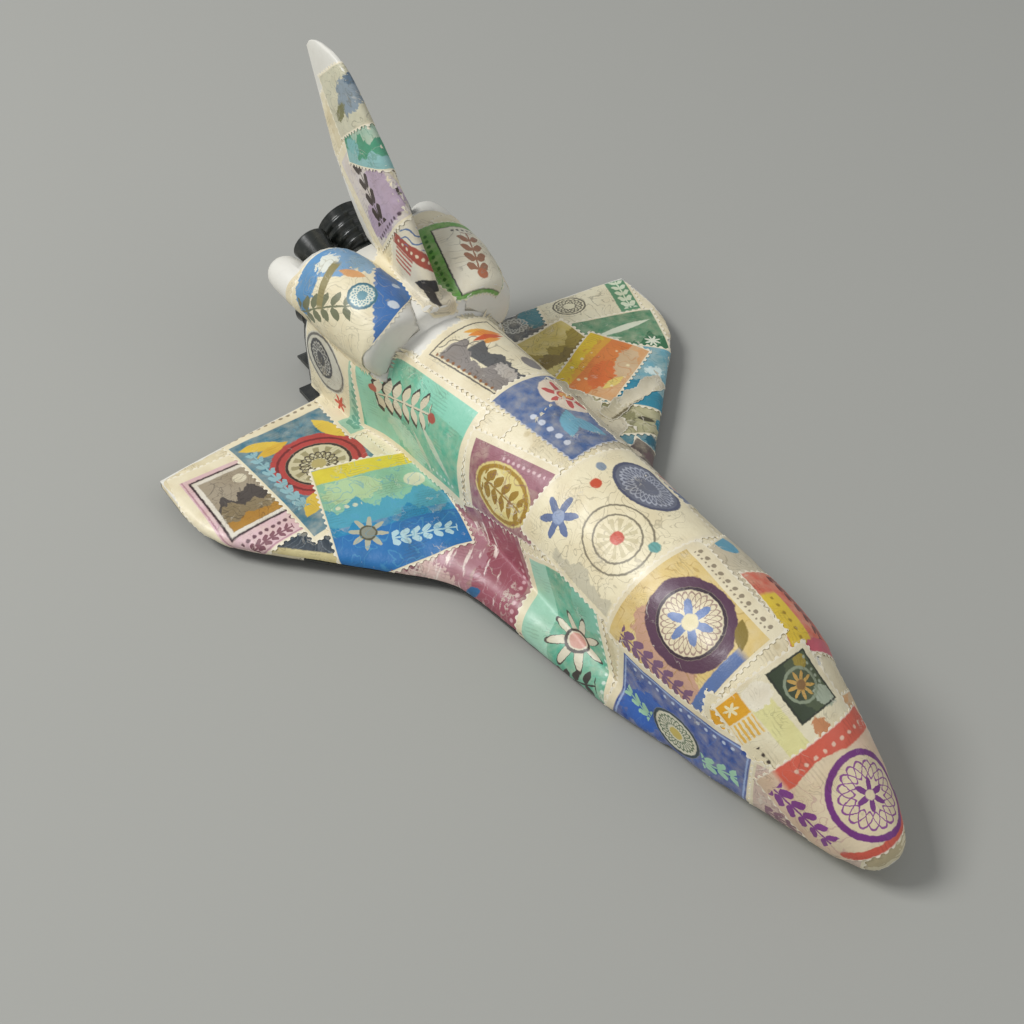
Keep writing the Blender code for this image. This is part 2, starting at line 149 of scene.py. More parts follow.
plastics = {
    # finish: colour, worn colour, roughness low and high, fine scratches, dust
    "white moulded plastic": {
        "colour": "#e3e1d8", "worn": "#cfc8b4", "gloss": (0.30, 0.48), "scratch": 0.25, "dust": 0.08,
    },
    "black moulded plastic": {
        "colour": "#1e211e", "worn": "#383b37", "gloss": (0.17, 0.3), "scratch": 0.4, "dust": 0.08,
    },
    "black wheel plastic": {
        "colour": "#1e1e1f", "worn": "#4a4844", "gloss": (0.42, 0.62), "scratch": 0.35, "dust": 0.3,
    },
}


def plasticMaterial(name):
    # moulded plastic: an even colour with faint flow marks, and dust and fine scratches in the gloss. The
    # scratches are drawn about 0.15 mm wide so that they show.
    look = plastics[name]
    material, tree, shader = startMaterial(name)
    point = inMm(tree)
    flow = addNode(tree, "TexNoise", Vector=point, Scale=0.06, Detail=3.0)
    dust = addNode(tree, "TexNoise", Vector=point, Scale=0.55, Detail=8.0)
    dust = addNode(tree, "MapRange", dust, 0.52, 0.74, 0.0, look["dust"])
    worn = addNode(tree, "MapRange", flow, 0.4, 0.75, 0.0, 0.35)
    colour = addNode(tree, "Mix", {0: worn, 6: linear(look["colour"]), 7: linear(look["worn"])}, **colours)
    colour = addNode(tree, "Mix", {0: dust, 6: colour, 7: linear("#a39d90")}, **colours)
    stretched = addNode(tree, "Mapping", {0: point, 3: (0.25, 3.0, 1.0), 2: (0.3, 0.5, 0.9)})
    lines = addNode(tree, "TexNoise", Vector=stretched, Scale=2.2, Detail=2.0)
    lines = addNode(tree, "MapRange", lines, 0.66, 0.72)
    rough = addNode(tree, "MapRange", flow, 0.3, 0.7, *look["gloss"])
    rough = addNode(tree, "Math ADD", rough, addNode(tree, "Math MULTIPLY", lines, 0.1 * look["scratch"]))
    rough = addNode(tree, "Math ADD", rough, dust)
    skin = addNode(tree, "TexNoise", Vector=point, Scale=1.6, Detail=6.0)
    skin = addNode(tree, "Math ADD", skin, addNode(tree, "Math MULTIPLY", lines, -0.6 * look["scratch"]))
    setSurface(tree, shader, colour, rough, skin, 0.25, 0.06 * mm)
    return material


def steelMaterial():
    # drawn steel wire: fine bright lines along the axle
    material, tree, shader = startMaterial("drawn axle steel")
    shader.inputs["Metallic"].default_value = 1.0
    point = inMm(tree)
    drawn = addNode(tree, "Mapping", {0: point, 3: (0.05, 6.0, 6.0)})
    lines = addNode(tree, "TexNoise", Vector=drawn, Scale=3.0, Detail=3.0)
    colour = addNode(tree, "Mix", {0: lines, 6: linear("#8c8a86"), 7: linear("#b9b7b2")}, **colours)
    rough = addNode(tree, "MapRange", lines, 0.2, 0.8, 0.24, 0.42)
    setSurface(tree, shader, colour, rough, lines, 0.3, 0.02 * mm)
    return material


finishes = {
    "white moulded plastic": ("hull_shell", "wing_port", "wing_starboard", "tail_fin", "pod_port", "pod_starboard"),
    "black moulded plastic": (
        "belly_moulding", "body_flap", "engine_bulkhead", "main_engine_top", "main_engine_port",
        "main_engine_starboard", "pod_nozzle_port", "pod_nozzle_starboard",
    ),
    "black wheel plastic": ("nose_wheel_port", "nose_wheel_starboard", "main_wheel_port", "main_wheel_starboard"),
    "drawn axle steel": ("nose_axle", "main_axle"),
}
for finish, wearers in finishes.items():
    made = steelMaterial() if finish == "drawn axle steel" else plasticMaterial(finish)
    for name in wearers:
        for slot in nodes[name].material_slots:
            slot.material = made
print("plastics and steel done")


carries = {name: body for body, names in frame["record"]["behaviour"]["bodies"].items() for name in names}


def addPiece(name, data, node):
    # a finished mesh that takes one solid's place, on the same body
    made = addObject(name, data)
    data.materials.clear()
    data.materials.append(nodes[node].material_slots[0].material)
    data.shade_smooth()
    data.set_sharp_from_angle(angle=math.radians(38))  # every moulded edge stays crisp
    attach(made, carries[node])
    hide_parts(node)


def smoothMoulding(node):
    # the same shape with its corners joined, so that it shades round as a moulding does
    joined = bmesh.new()
    joined.from_mesh(nodes[node].data)
    bmesh.ops.remove_doubles(joined, verts=joined.verts, dist=1e-6)
    data = bpy.data.meshes.new(node + "_moulded")
    joined.to_mesh(data)
    joined.free()
    addPiece(node + "_moulded", data, node)


bells = {
    # mm: radius of mouth and neck, length, flare, wall, radius and end of the spigot, depth of the floor
    "engine": {
        "mouth": 7.3, "neck": 4.4, "length": 10.6, "flare": 0.8, "wall": 0.7, "spigot": (3.6, 16.6), "floor": 9.2,
        "Ribs": 4, "First rib": 2.8, "Rib pitch": 2.2, "Rib width": 1.5, "Rib height": 0.42,
    },
    "nozzle": {
        "mouth": 4.7, "neck": 3.0, "length": 8.8, "flare": 0.75, "wall": 0.7, "spigot": (3.0, 11.8), "floor": 6.6,
        "Ribs": 1, "First rib": 1.0, "Rib pitch": 2.0, "Rib width": 1.0, "Rib height": 0.0,
    },
    "step": 0.14,  # along the wall
    "Steps": 73,  # round the axis
    # node: bell, lateral, station and height of the mouth, degrees up and outward
    "places": {
        "main_engine_top": ("engine", 0.0, 198.8, 34.2, 14.0, 0.0),
        "main_engine_port": ("engine", 8.8, 198.5, 14.4, 8.0, 3.0),
        "main_engine_starboard": ("engine", -8.8, 198.5, 14.4, 8.0, -3.0),
        "pod_nozzle_port": ("nozzle", 11.6, 194.4, 35.6, 14.0, 2.0),
        "pod_nozzle_starboard": ("nozzle", -11.6, 194.4, 35.6, 14.0, -2.0),
    },
}


def bellProfile(look):
    # points of radius, 1 where a rib may rise, and height above the mouth; the spigot's end comes first
    def radius(height):
        return look["neck"] + (look["mouth"] - look["neck"]) * (1 - height / look["length"]) ** look["flare"]

    spigot, back = look["spigot"]
    wall, length, floor = look["wall"], look["length"], look["floor"]
    points = [(0, 0, back), (spigot - 0.3, 0, back), (spigot, 0, back - 0.3), (spigot, 0, length + 0.6)]
    count = round(length / bells["step"])
    points += [(radius(length * k / count), 1, length * k / count) for k in range(count, 1, -1)]
    # a rounded lip, then the inside down to a flat floor
    points += [(look["mouth"], 0, 0.14), (look["mouth"] - 0.06, 0, 0.04), (look["mouth"] - 0.2, 0, 0)]
    inside = look["mouth"] - wall
    points += [(inside + 0.16, 0, 0), (inside + 0.03, 0, 0.05), (inside, 0, 0.2)]
    points += [(radius(floor * k / 12) - wall - 0.03 * floor * k / 12, 0, floor * k / 12) for k in range(1, 12)]
    points += [((radius(floor) - wall) * share, 0, floor) for share in (0.9, 0.5, 0)]
    return points


def turnedTree():
    # turns the profile round Z and raises a row of soft ribs on its outside
    ribSizes = ("First rib", "Rib pitch", "Rib width", "Rib height")
    tree, given = startTree("turned bell", ("Points", "Steps", "Ribs"), ribSizes)
    where = addNode(tree, "GeometryNodeInputPosition")
    rows = {"Size X": 1.0, "Size Y": 1.0, "Vertices X": given["Points"], "Vertices Y": given["Steps"]}
    grid = addNode(tree, "GeometryNodeMeshGrid", rows)
    flat = addNode(tree, "SeparateXYZ", where, out=None)
    last = addNode(tree, "Math SUBTRACT", given["Points"], 1.0)
    index = addNode(tree, "Math MULTIPLY", addNode(tree, "Math ADD", flat[0], 0.5), last)
    index = addNode(tree, "Math ROUND", index)
    onProfile = {"Geometry": given[0], "Value": where, "Index": index}
    sampled = addNode(tree, "GeometryNodeSampleIndex", onProfile, data_type="FLOAT_VECTOR")
    radius, outside, height = addNode(tree, "SeparateXYZ", sampled, out=None)
    fromFirst = addNode(tree, "Math SUBTRACT", height, given["First rib"])
    which = addNode(tree, "Math ROUND", addNode(tree, "Math DIVIDE", fromFirst, given["Rib pitch"]))
    which = addNode(tree, "Math MAXIMUM", which, 0.0)
    which = addNode(tree, "Math MINIMUM", which, addNode(tree, "Math SUBTRACT", given["Ribs"], 1.0))
    off = addNode(tree, "Math SUBTRACT", fromFirst, addNode(tree, "Math MULTIPLY", which, given["Rib pitch"]))
    off = addNode(tree, "Math DIVIDE", off, addNode(tree, "Math MULTIPLY", given["Rib width"], 0.5))
    rise = addNode(tree, "Math SUBTRACT", 1.0, addNode(tree, "Math MULTIPLY", off, off))
    rise = addNode(tree, "Math MAXIMUM", rise, 0.0)
    rise = addNode(tree, "Math MULTIPLY", addNode(tree, "Math MULTIPLY", rise, given["Rib height"]), outside)
    reach = addNode(tree, "Math ADD", radius, rise)
    angle = addNode(tree, "Math MULTIPLY", addNode(tree, "Math ADD", flat[1], 0.5), math.tau)
    x = addNode(tree, "Math MULTIPLY", reach, addNode(tree, "Math COSINE", angle))
    y = addNode(tree, "Math MULTIPLY", reach, addNode(tree, "Math SINE", angle))
    spot = addNode(tree, "CombineXYZ", x, y, height)
    turned = addNode(tree, "GeometryNodeSetPosition", {0: grid, "Position": spot})
    closed = addNode(tree, "GeometryNodeMergeByDistance", Geometry=turned, Distance=0.002)
    endTree(tree, closed, given["Material"])
    return tree


def turnBells():
    tree = turnedTree()
    for node, (kind, lateral, station, height, up, outward) in bells["places"].items():
        look = bells[kind]
        profile = bellProfile(look)
        data = bpy.data.meshes.new(node + "_profile")
        data.from_pydata(profile, [], [])
        plastic = nodes[node].material_slots[0].material
        values = {**look, "Points": len(profile), "Steps": bells["Steps"], "Material": plastic}
        made = growMesh(addObject(node + "_profile", data), tree, values)
        lean = Euler((math.pi / 2 + math.radians(up), 0, -math.radians(outward))).to_matrix().to_4x4()
        made.transform(Matrix.Translation(place(station, lateral, height)) @ lean @ Matrix.Scale(mm, 4))
        shell = bmesh.new()
        shell.from_mesh(made)
        bmesh.ops.recalc_face_normals(shell, faces=shell.faces)
        shell.to_mesh(made)
        shell.free()
        addPiece(node + "_turned", made, node)


for name in carries:
    if name not in bells["places"]:
        smoothMoulding(name)
turnBells()
print("mouldings smoothed and bells turned")


paper = {
    "cream": "#e8ddbd",  # gummed paper gone yellow under varnish
    "cut": "#f2ecdb",  # the fibres at a cut or torn edge
    "back": "#d8cfb3",
    "crease": "#ded6c4",  # bare fibre where the print is rubbed off
    "brown": "#c9b489",  # multiplies the print where the varnish has gone brown
    "dirt": "#6d5f45",
    "engraving": "#2a2622",  # the printer's dark lines
    "bare": (153.0, 23.0),  # mm: behind this station and above this height the hull's sheets leave the pods bare
    "pitch": 1.7,  # mm between perforations
    "bite": 0.52,  # mm radius of a perforation
    "thick": 0.13,  # mm, paper and varnish
    "grid": 1.0,  # mm between the sheet's inner points
    "stride": 1.2,  # mm between the points that are walked over the body
    "wander": 0.12,  # mm by which the cut line strays
    "wrinkle": 0.03,  # mm
    "glue": 0.03,  # mm under each sheet
    "stack": 3.0,  # mm, more than the sheets lying on each other can reach
    "voxel": 0.5,  # mm, of the skin that the sheets are laid on
    # where the sheets end, in mm above the belly: the line between the mouldings, a low sheet's on the wings and
    # elsewhere; outside the strake the line rises by so much a mm
    "parting": {"mouldings": 1.98, "low on wings": 0.75, "low": 0.5, "strake": 16.4, "rise": 0.0446},
    "seed": 7,
}

# Each design: size in mm, colour of the ground, margin (left, right, bottom, top), wear from 0 to 1,
# and the ink: shape, x, y, half width, half height, degrees, colour, and a count or a pitch in mm.
designs = {
    "plain": {"size": (30, 38), "ground": "#e8ddbc", "margin": 1.5, "wear": 0.3, "ink": [
        ("blob", 3, -4, 9, 12, 0, "#dfd3b0", 0.7), ("spot", 0, 0, 13, 17, 0, "#d6c8a2", 5.0),
    ]},
    "purpleRosette": {"size": (25, 30), "ground": "#dcbfa4", "margin": 0.5, "wear": 0.3, "ink": [
        ("box", -9.9, 3.0, 2.6, 12, 0, "#d4604a"), ("blob", 10.2, 2.5, 4.4, 11.5, 0, "#cf5b48", 0.3),
        ("blob", 0.8, -1.0, 9.4, 11.0, 0, "#e0ceae", 0.12), ("contour", -1.0, -8.5, 9.0, 5.5, 0, "#b98d8c", 11),
        ("disc", 2.0, 3.0, 8.4, 8.0, 0, "#dfd0ac"), ("ring", 2.0, 3.0, 8.8, 8.4, 0, "#74307c", 1.2),
        ("rosette", 2.0, 3.0, 6.8, 6.4, 0, "#8a4a8e", 6), ("star", 2.0, 3.0, 3.4, 3.2, 15, "#74307c", 6),
        ("disc", 2.0, 3.0, 1.0, 1.0, 0, "#dfd0ac"), ("sprig", -1.6, -10.2, 7.4, 2.5, 10, "#83408a", 5),
        ("dots", -9.4, 3.0, 9.5, 0.4, 90, "#e8c3ab", 2.1),
    ]},
    "oliveSprig": {"size": (20, 24), "ground": "#e8dfbf", "margin": (1.2, 1.2, 1.0, 1.4), "wear": 0.3, "ink": [
        ("box", 1.6, -2.8, 6.6, 2.2, 4, "#e2dc9c"), ("blob", -6.0, -3.0, 2.6, 3.0, 0, "#efe8d2", 0.6),
        ("box", -2.5, 5.3, 5.7, 4.7, 0, "#4e593c"), ("hills", -2.5, 4.6, 5.7, 4.0, 0, "#36422c", 2.0),
        ("blob", 1.4, 8.0, 2.4, 1.8, 20, "#a3ad97", 0.5), ("blob", -6.6, 7.8, 1.5, 1.4, 0, "#a08c34", 0.5),
        ("ring", -2.8, 5.1, 3.6, 3.5, 0, "#8f9a80", 0.5), ("star", -2.8, 5.1, 3.0, 2.9, 10, "#c9a050", 9),
        ("disc", -2.8, 5.1, 1.0, 1.0, 0, "#8a6433"), ("dots", -2.5, 9.0, 4.6, 0.3, 0, "#a3ad97", 1.4),
        ("frame", -2.5, 5.3, 5.7, 4.7, 0, "#2d3326", 0.3), ("blob", 5.6, 3.4, 2.0, 1.6, 0, "#c98a5c", 0.6),
        ("box", -6.6, -8.6, 2.5, 3.0, 0, "#e2a526"), ("star", -6.6, -8.6, 1.5, 1.8, 0, "#efe2b4", 6),
        ("bars", -1.8, -8.4, 2.0, 2.8, 0, "#e6b650", 1.1), ("dots", 5.4, -8.6, 3.4, 0.4, 0, "#4a4038", 1.7),
    ]},
    "orangeTiles": {"size": (22, 24), "ground": "#e7ddbb", "margin": 1.6, "wear": 0.4, "ink": [
        ("box", -5.0, 6.0, 3.6, 2.8, 12, "#e0a424"), ("star", -5.0, 6.0, 2.0, 2.0, 0, "#efe2b4", 6),
        ("bars", 1.6, 5.4, 2.6, 2.8, 12, "#e3ae3a", 1.2), ("box", 5.2, -4.0, 2.6, 2.8, 0, "#dfa92d"),
        ("leaf", 5.2, -4.0, 2.2, 0.9, 45, "#efe2b4"), ("disc", -6.4, -8.0, 2.2, 1.3, 0, "#7fb4bf"),
        ("contour", 0, 0, 9, 10, 0, "#b9a67a", 9),
    ], "marks": [
        ("wave", 0.5, -1.6, 7.0, 2.6, 70, "#2a2624", 2.8),
    ]},
    "pinkWash": {"size": (26, 18), "ground": "#cfb5a8", "margin": 1.2, "wear": 0.7, "ink": [
        ("blob", 2, 1, 9, 4, 10, "#bd9a95", 0.7), ("contour", 0, 0, 11, 7, 0, "#8a6f72", 14),
        ("sprig", -1, -3.6, 8, 2.0, 4, "#8f6b78", 6), ("blob", -6, 3, 3, 2, 0, "#e0d3c4", 0.6),
    ]},
    "royalOval": {"size": (38, 22), "ground": "#284c9a", "margin": (2.2, 1.6, 1.8, 1.8), "wear": 0.25, "ink": [
        ("blob", -9, -2, 7, 5, 30, "#3763b2", 0.6), ("contour", 0, 0, 17, 9, 0, "#4c74bb", 10),
        ("disc", -1.0, -1.4, 6.4, 5.2, -8, "#d9d5bd"), ("ring", -1.0, -1.4, 6.4, 5.2, -8, "#36454c", 0.6),
        ("rosette", -1.0, -1.4, 5.0, 4.0, -8, "#66775c", 8), ("disc", -1.0, -1.4, 1.7, 1.4, 0, "#c9b45e"),
        ("sprig", 10.6, -2.0, 4.6, 2.2, 16, "#a3cfae", 3), ("sprig", -11.8, -2.0, 3.8, 2.0, 164, "#a3cfae", 3),
        ("dots", 0, 7.2, 15.0, 0.45, 0, "#c3cfe2", 2.2), ("frame", 0.3, 0, 16.6, 8.8, 0, "#9fb4da", 0.35),
    ]},
    "ochreFlower": {"size": (30, 31), "ground": "#dcc078", "margin": (1.6, 1.2, 1.4, 4.6), "wear": 0.35, "ink": [
        ("blob", 1.0, -7.0, 11.5, 6.0, -18, "#c99f86", 0.4), ("contour", -1.5, 0, 12.5, 15.5, 0, "#a8843e", 9),
        ("blob", 0.5, 1.6, 10.4, 9.0, 0, "#5a3a4f", 0.1), ("disc", 0.5, 1.8, 7.6, 7.0, 0, "#e2d6b4"),
        ("ring", 0.5, 1.8, 7.6, 7.0, 0, "#3a2733", 0.6), ("rosette", 0.5, 1.8, 6.8, 6.2, 0, "#a48b7c", 9),
        ("star", 0.5, 1.8, 5.2, 4.8, 12, "#6a82b2", 6), ("disc", 0.5, 1.8, 1.8, 1.7, 0, "#dfd3a6"),
        ("sprig", 0.0, -10.6, 10.4, 2.4, 5, "#7b5a76", 7), ("leaf", 9.4, 7.4, 3.4, 1.3, -40, "#8a7632"),
        ("box", 12.4, -3.0, 1.4, 8.0, 0, "#5d76a8"),
    ], "marks": [
        ("dots", 0, 12.9, 12.8, 0.55, 0, "#6b5a48", 2.3), ("dots", 0, 11.9, 12.0, 0.25, 0, "#6b5a48", 1.2),
    ]},
    "creamChart": {"size": (32, 35), "ground": "#ebe0bd", "margin": 1.4, "wear": 0.25, "ink": [
        ("contour", 2.0, -1.0, 13.0, 14.5, 0, "#938a72", 12), ("disc", -2.4, 11.0, 8.6, 5.8, 6, "#6c707f"),
        ("ring", -2.4, 11.0, 8.6, 5.8, 6, "#51556a", 0.5), ("rosette", -2.4, 11.0, 7.0, 4.6, 6, "#a9adb8", 9),
        ("ring", 5.4, -2.2, 8.6, 7.4, 0, "#857d68", 0.35), ("ring", 5.4, -2.2, 6.0, 5.2, 0, "#857d68", 0.35),
        ("rays", 5.4, -2.2, 4.8, 4.2, 0, "#d0c59f", 12), ("disc", 5.4, -2.2, 1.6, 1.4, 0, "#c84a2e"),
        ("disc", 12.6, 2.0, 1.4, 1.2, 0, "#6aa39c"), ("disc", -8.4, 2.4, 1.4, 1.2, 0, "#c8502f"),
        ("disc", -11.8, 6.0, 1.3, 1.1, 0, "#8a97a4"), ("star", -8.4, -8.0, 5.0, 5.0, 25, "#66759a", 6),
        ("disc", -8.4, -8.0, 1.5, 1.5, 0, "#98a6c2"), ("hills", 4.6, -12.2, 9.6, 3.6, 0, "#c9c2a8", 4.0),
        ("contour", 4.6, -12.2, 9.6, 3.6, 0, "#8a8573", 15),
    ]},
    "greyCream": {"size": (28, 24), "ground": "#c9bfa6", "margin": 1.0, "wear": 0.8, "ink": [
        ("blob", 0, 0, 9, 8, 0, "#cdc3a8", 0.8), ("contour", 0, 0, 10, 10, 0, "#8d836c", 9),
        ("disc", -11.4, 1.2, 3.0, 2.6, 0, "#5f9fb8"),
    ]},
    "warmStrip": {"size": (22, 17), "ground": "#d4634a", "margin": (0.6, 0.6, 0.6, 0.6), "wear": 0.35, "ink": [
        ("blob", 0, 4.0, 10, 3.4, 0, "#c9553f", 0.6), ("box", 4.0, -5.4, 8.0, 2.6, 5, "#e0c23a"),
        ("blob", 9.6, 0.0, 2.2, 5.0, 0, "#c65a68", 0.4), ("sprig", -1.0, 0.6, 8.4, 1.5, 6, "#6e2c22", 6),
        ("dots", 3.4, -5.2, 6.4, 0.45, 5, "#a88a1e", 2.0),
    ]},
    "roseMedal": {"size": (26.3, 19), "ground": "#935a67", "margin": (2.2, 1.0, 0.3, 2.2), "wear": 0.3, "ink": [
        ("box", 3.0, 5.0, 9.0, 2.6, 0, "#9e6873"), ("disc", 0.8, -1.6, 9.4, 6.4, -8, "#dccb82"),
        ("blob", -1.6, -1.6, 6.4, 4.4, -12, "#e4d89e", 0.4), ("ring", 0.8, -1.6, 8.8, 5.9, -8, "#a8842c", 0.8),
        ("sprig", 0.8, -1.6, 6.8, 3.6, -14, "#a07e30", 5), ("dots", 4.4, 5.6, 6.2, 0.4, 0, "#d8b8bb", 1.5),
        ("contour", 0, 0, 12, 9, 0, "#7d4b57", 8),
    ]},
    "roseWorn": {"size": (38, 36), "ground": "#935a67", "margin": (0.4, 0.6, 1.2, 1.4), "wear": 0.9, "ink": [
        ("box", 10.4, 0, 6.4, 17, 0, "#98525e"), ("blob", -1, 4, 6, 9, 20, "#ad7a84", 0.9),
        ("blob", -13, -3, 5, 8, 10, "#84525d", 0.8), ("dots", 15.6, -2.0, 8.5, 0.5, 90, "#cfa6aa", 1.8),
        ("blob", -4.4, -4.4, 5.6, 2.8, -30, "#d9bcb4", 1.2), ("blob", -10.6, -6.6, 4.4, 2.4, 20, "#d8c0b8", 1.1),
        # the two pale streaks below are painted highlights on the varnish's crinkles, over print rubbed off along a
        # fold
        ("scrape", 0.5, 1.0, 12.0, 9.0, 98, "#f0e2da", 1.0), ("scrape", -10.0, -2.0, 9.0, 7.0, 84, "#ecdcd2", 1.0),
        ("leaf", 4.4, -5.2, 2.4, 1.2, 20, "#2f6695"), ("contour", 0, 2, 14, 13, 0, "#b98c94", 8),
    ]},
    "tealLeaves": {"size": (43, 27), "ground": "#5cb294", "margin": (2.0, 2.4, 2.5, 2.0), "wear": 0.3, "ink": [
        ("box", -14, 0, 6.0, 13, 8, "#93ccb0"), ("box", 9.6, 9.0, 10.0, 3.2, -4, "#8accb1"),
        ("blob", -2.0, -7.0, 8.0, 3.4, -22, "#b1d2b8", 0.5), ("contour", 3, 0, 17, 11, 0, "#7fc6aa", 9),
        ("sprig", -3.4, 2.8, 10.4, 4.8, 10, "#443e36", 6), ("sprig", -3.2, 3.0, 10.0, 3.9, 10, "#d6cdb2", 6),
        ("disc", 7.6, 4.2, 1.4, 1.2, 0, "#a85344"), ("disc", -14.0, 2.4, 1.3, 1.1, 0, "#b0604e"),
        ("leaf", 10.0, -3.4, 7.0, 1.1, -40, "#c5d0b8"), ("leaf", 4.2, -6.4, 5.4, 0.9, -52, "#bccbb2"),
        ("dots", 11.4, -9.4, 5.4, 0.4, 0, "#cfe0cf", 1.6),
    ]},
    "tealBloom": {"size": (27, 34), "ground": "#57a98c", "margin": (2.2, 2.0, 1.0, 1.6), "wear": 0.35, "ink": [
        ("box", -8.0, 0, 3.6, 16.0, 4, "#a2cfb6"), ("blob", 8, 10, 5, 6, 0, "#83c1a8", 0.4),
        ("contour", 4, 2, 9, 14, 0, "#79c0a4", 8), ("star", 2.4, -0.4, 8.2, 7.6, 10, "#3f3931", 8),
        ("star", 2.4, -0.4, 7.5, 6.9, 10, "#d8d0b8", 8), ("ring", 2.4, -0.4, 3.4, 3.1, 0, "#463f37", 0.6),
        ("disc", 2.4, -0.4, 2.3, 2.1, 0, "#cf9c8c"), ("sprig", 1.0, -10.4, 8.6, 3.0, 14, "#3f3a35", 6),
        ("dots", 11.0, 0, 12.0, 0.4, 90, "#cfe2d2", 1.8),
    ]},
    "slateFan": {"size": (28, 25), "ground": "#456193", "margin": (1.5, 0.1, 0.1, 1.0), "wear": 0.35, "ink": [
        ("contour", 0, 0, 13.5, 12, 0, "#5f7dab", 9), ("disc", -4.4, 2.4, 6.6, 5.8, 0, "#e3d3be"),
        ("star", -4.4, 2.4, 5.8, 5.0, 8, "#c0534e", 7), ("ring", -4.4, 2.4, 2.6, 2.3, 8, "#e3d3be", 0.4),
        ("disc", -4.4, 2.4, 1.6, 1.4, 0, "#d9a25a"),
        ("leaf", 4.4, -4.6, 4.8, 2.0, -34, "#74acc0"), ("leaf", 7.0, -1.6, 4.6, 1.8, 24, "#6fa6bd"),
        ("star", 9.4, 6.4, 2.8, 2.8, 10, "#cdd2dc", 6), ("dots", 3.4, -9.2, 7.0, 0.75, 0, "#cdd2dc", 2.7),
    ]},
    "emberHills": {"size": (30, 25), "ground": "#e7ddbd", "margin": (1.8, 1.4, 2.4, 1.2), "wear": 0.35, "ink": [
        ("leaf", -9.6, 3.8, 3.6, 0.9, 66, "#e3a648"), ("leaf", -8.2, 4.6, 4.4, 1.2, 74, "#e08a3c"),
        ("leaf", -6.6, 4.2, 4.4, 1.0, 82, "#c9582e"), ("leaf", -5.2, 3.4, 3.4, 0.8, 88, "#e0963f"),
        ("hills", 3.0, 0.6, 9.0, 5.0, 0, "#5d5d5c", 3.0), ("hills", 1.0, -3.4, 11.2, 5.0, 0, "#8d8680", 7.0),
        ("blob", 6.0, -2.4, 3.6, 1.8, -8, "#b9b2a8", 0.7), ("disc", 5.6, 6.2, 2.8, 2.3, 0, "#7d7773"),
        ("contour", 2.0, -2.0, 10.0, 6.0, 0, "#383634", 15), ("frame", 0.2, 0.4, 12.8, 9.6, 0, "#5e5a52", 0.3),
        ("dots", 0, -8.2, 11.0, 0.4, 0, "#8b5a2c", 1.8),
    ], "marks": [
        ("wave", -9.0, -3.0, 4.6, 2.0, 60, "#5b5650", 2.0),
    ]},
    "greyDial": {"size": (30, 28), "ground": "#e5dbbb", "margin": 1.4, "wear": 0.4, "ink": [
        ("disc", -3.0, 2.0, 8.6, 8.0, 0, "#c9c7b8"), ("ring", -3.0, 2.0, 8.2, 7.6, 0, "#6c6a64", 0.6),
        ("disc", -4.4, 2.4, 4.8, 5.4, 15, "#454648"), ("rosette", -4.4, 2.4, 4.0, 4.6, 15, "#b5b4ab", 6),
        ("star", 3.4, -6.6, 2.6, 2.6, 0, "#c4452f", 6), ("box", 10.4, 0, 3.0, 13.0, 0, "#9fc7ae"),
        ("sprig", 10.4, 0, 11.0, 2.4, 90, "#6fa48e", 8), ("contour", -3, -4, 9, 8, 0, "#9a927c", 9),
    ]},
    "pinkView": {"size": (24, 34), "ground": "#dcb9bf", "margin": (4.0, 0.9, 0.9, 3.4), "wear": 0.35, "ink": [
        ("box", 1.6, 1.5, 8.0, 10.8, 0, "#3a2427"), ("box", 1.6, 1.5, 7.4, 10.2, 0, "#e2dccd"),
        ("box", 1.6, 1.5, 6.3, 9.1, 0, "#a2957f"), ("disc", 4.4, 7.2, 1.7, 1.6, 0, "#dfd6bb"),
        ("hills", 1.6, 2.5, 6.3, 8.1, 0, "#4d453f", 1.0), ("hills", 1.6, -1.4, 6.3, 6.2, 0, "#8a7a5a", 6.0),
        ("hills", 1.6, -4.6, 6.3, 3.0, 0, "#b0812f", 9.0), ("contour", 1.6, 1.5, 6.3, 9.1, 0, "#2b2420", 17),
        ("dots", 1.6, -11.4, 6.6, 0.5, 0, "#6d4a52", 1.6), ("sprig", 1.6, -13.9, 5.4, 1.5, 0, "#84565f", 6),
        ("frame", 1.6, -0.9, 9.2, 15.0, 0, "#b98c96", 0.3),
    ]},
    "crimsonWheel": {"size": (30, 45), "ground": "#3f7488", "margin": (1.2, 3.2, 2.0, 5.0), "wear": 0.3, "ink": [
        ("contour", 0, 0, 14, 20, 0, "#6b9cab", 9), ("leaf", -7.6, 13.0, 5.4, 1.9, -18, "#e0bd45"),
        ("leaf", -6.0, 10.2, 4.8, 1.5, 10, "#dcb23c"), ("blob", 0.0, -1.0, 11.6, 11.0, 0, "#b5453f", 0.2),
        ("ring", 0.0, -1.0, 10.2, 9.6, 0, "#7b2a29", 0.6), ("disc", 0.0, -1.0, 8.0, 7.4, 0, "#cfc6a2"),
        ("ring", 0.0, -1.0, 8.0, 7.4, 0, "#3b2f28", 0.6), ("rays", 0.0, -1.0, 6.6, 6.0, 0, "#a0966f", 12),
        ("rosette", 0.0, -1.0, 4.8, 4.3, 0, "#4b4234", 6), ("disc", 0.0, -1.0, 1.8, 1.7, 0, "#b5a56a"),
        ("leaf", -8.0, -12.0, 5.0, 2.2, 36, "#dcbc48"), ("leaf", 9.0, 9.0, 5.6, 2.0, 105, "#dfc04b"),
        ("leaf", 5.0, -14.0, 6.4, 2.2, 10, "#b5453f"), ("sprig", -10.8, 0, 12.0, 1.7, 90, "#8fb6bb", 9),
    ], "marks": [
        ("dots", 0, 20.0, 12.5, 0.55, 0, "#6d5a40", 2.1),
    ]},
    "blueSea": {"size": (31, 36), "ground": "#2a7fae", "margin": 0.9, "wear": 0.25, "ink": [
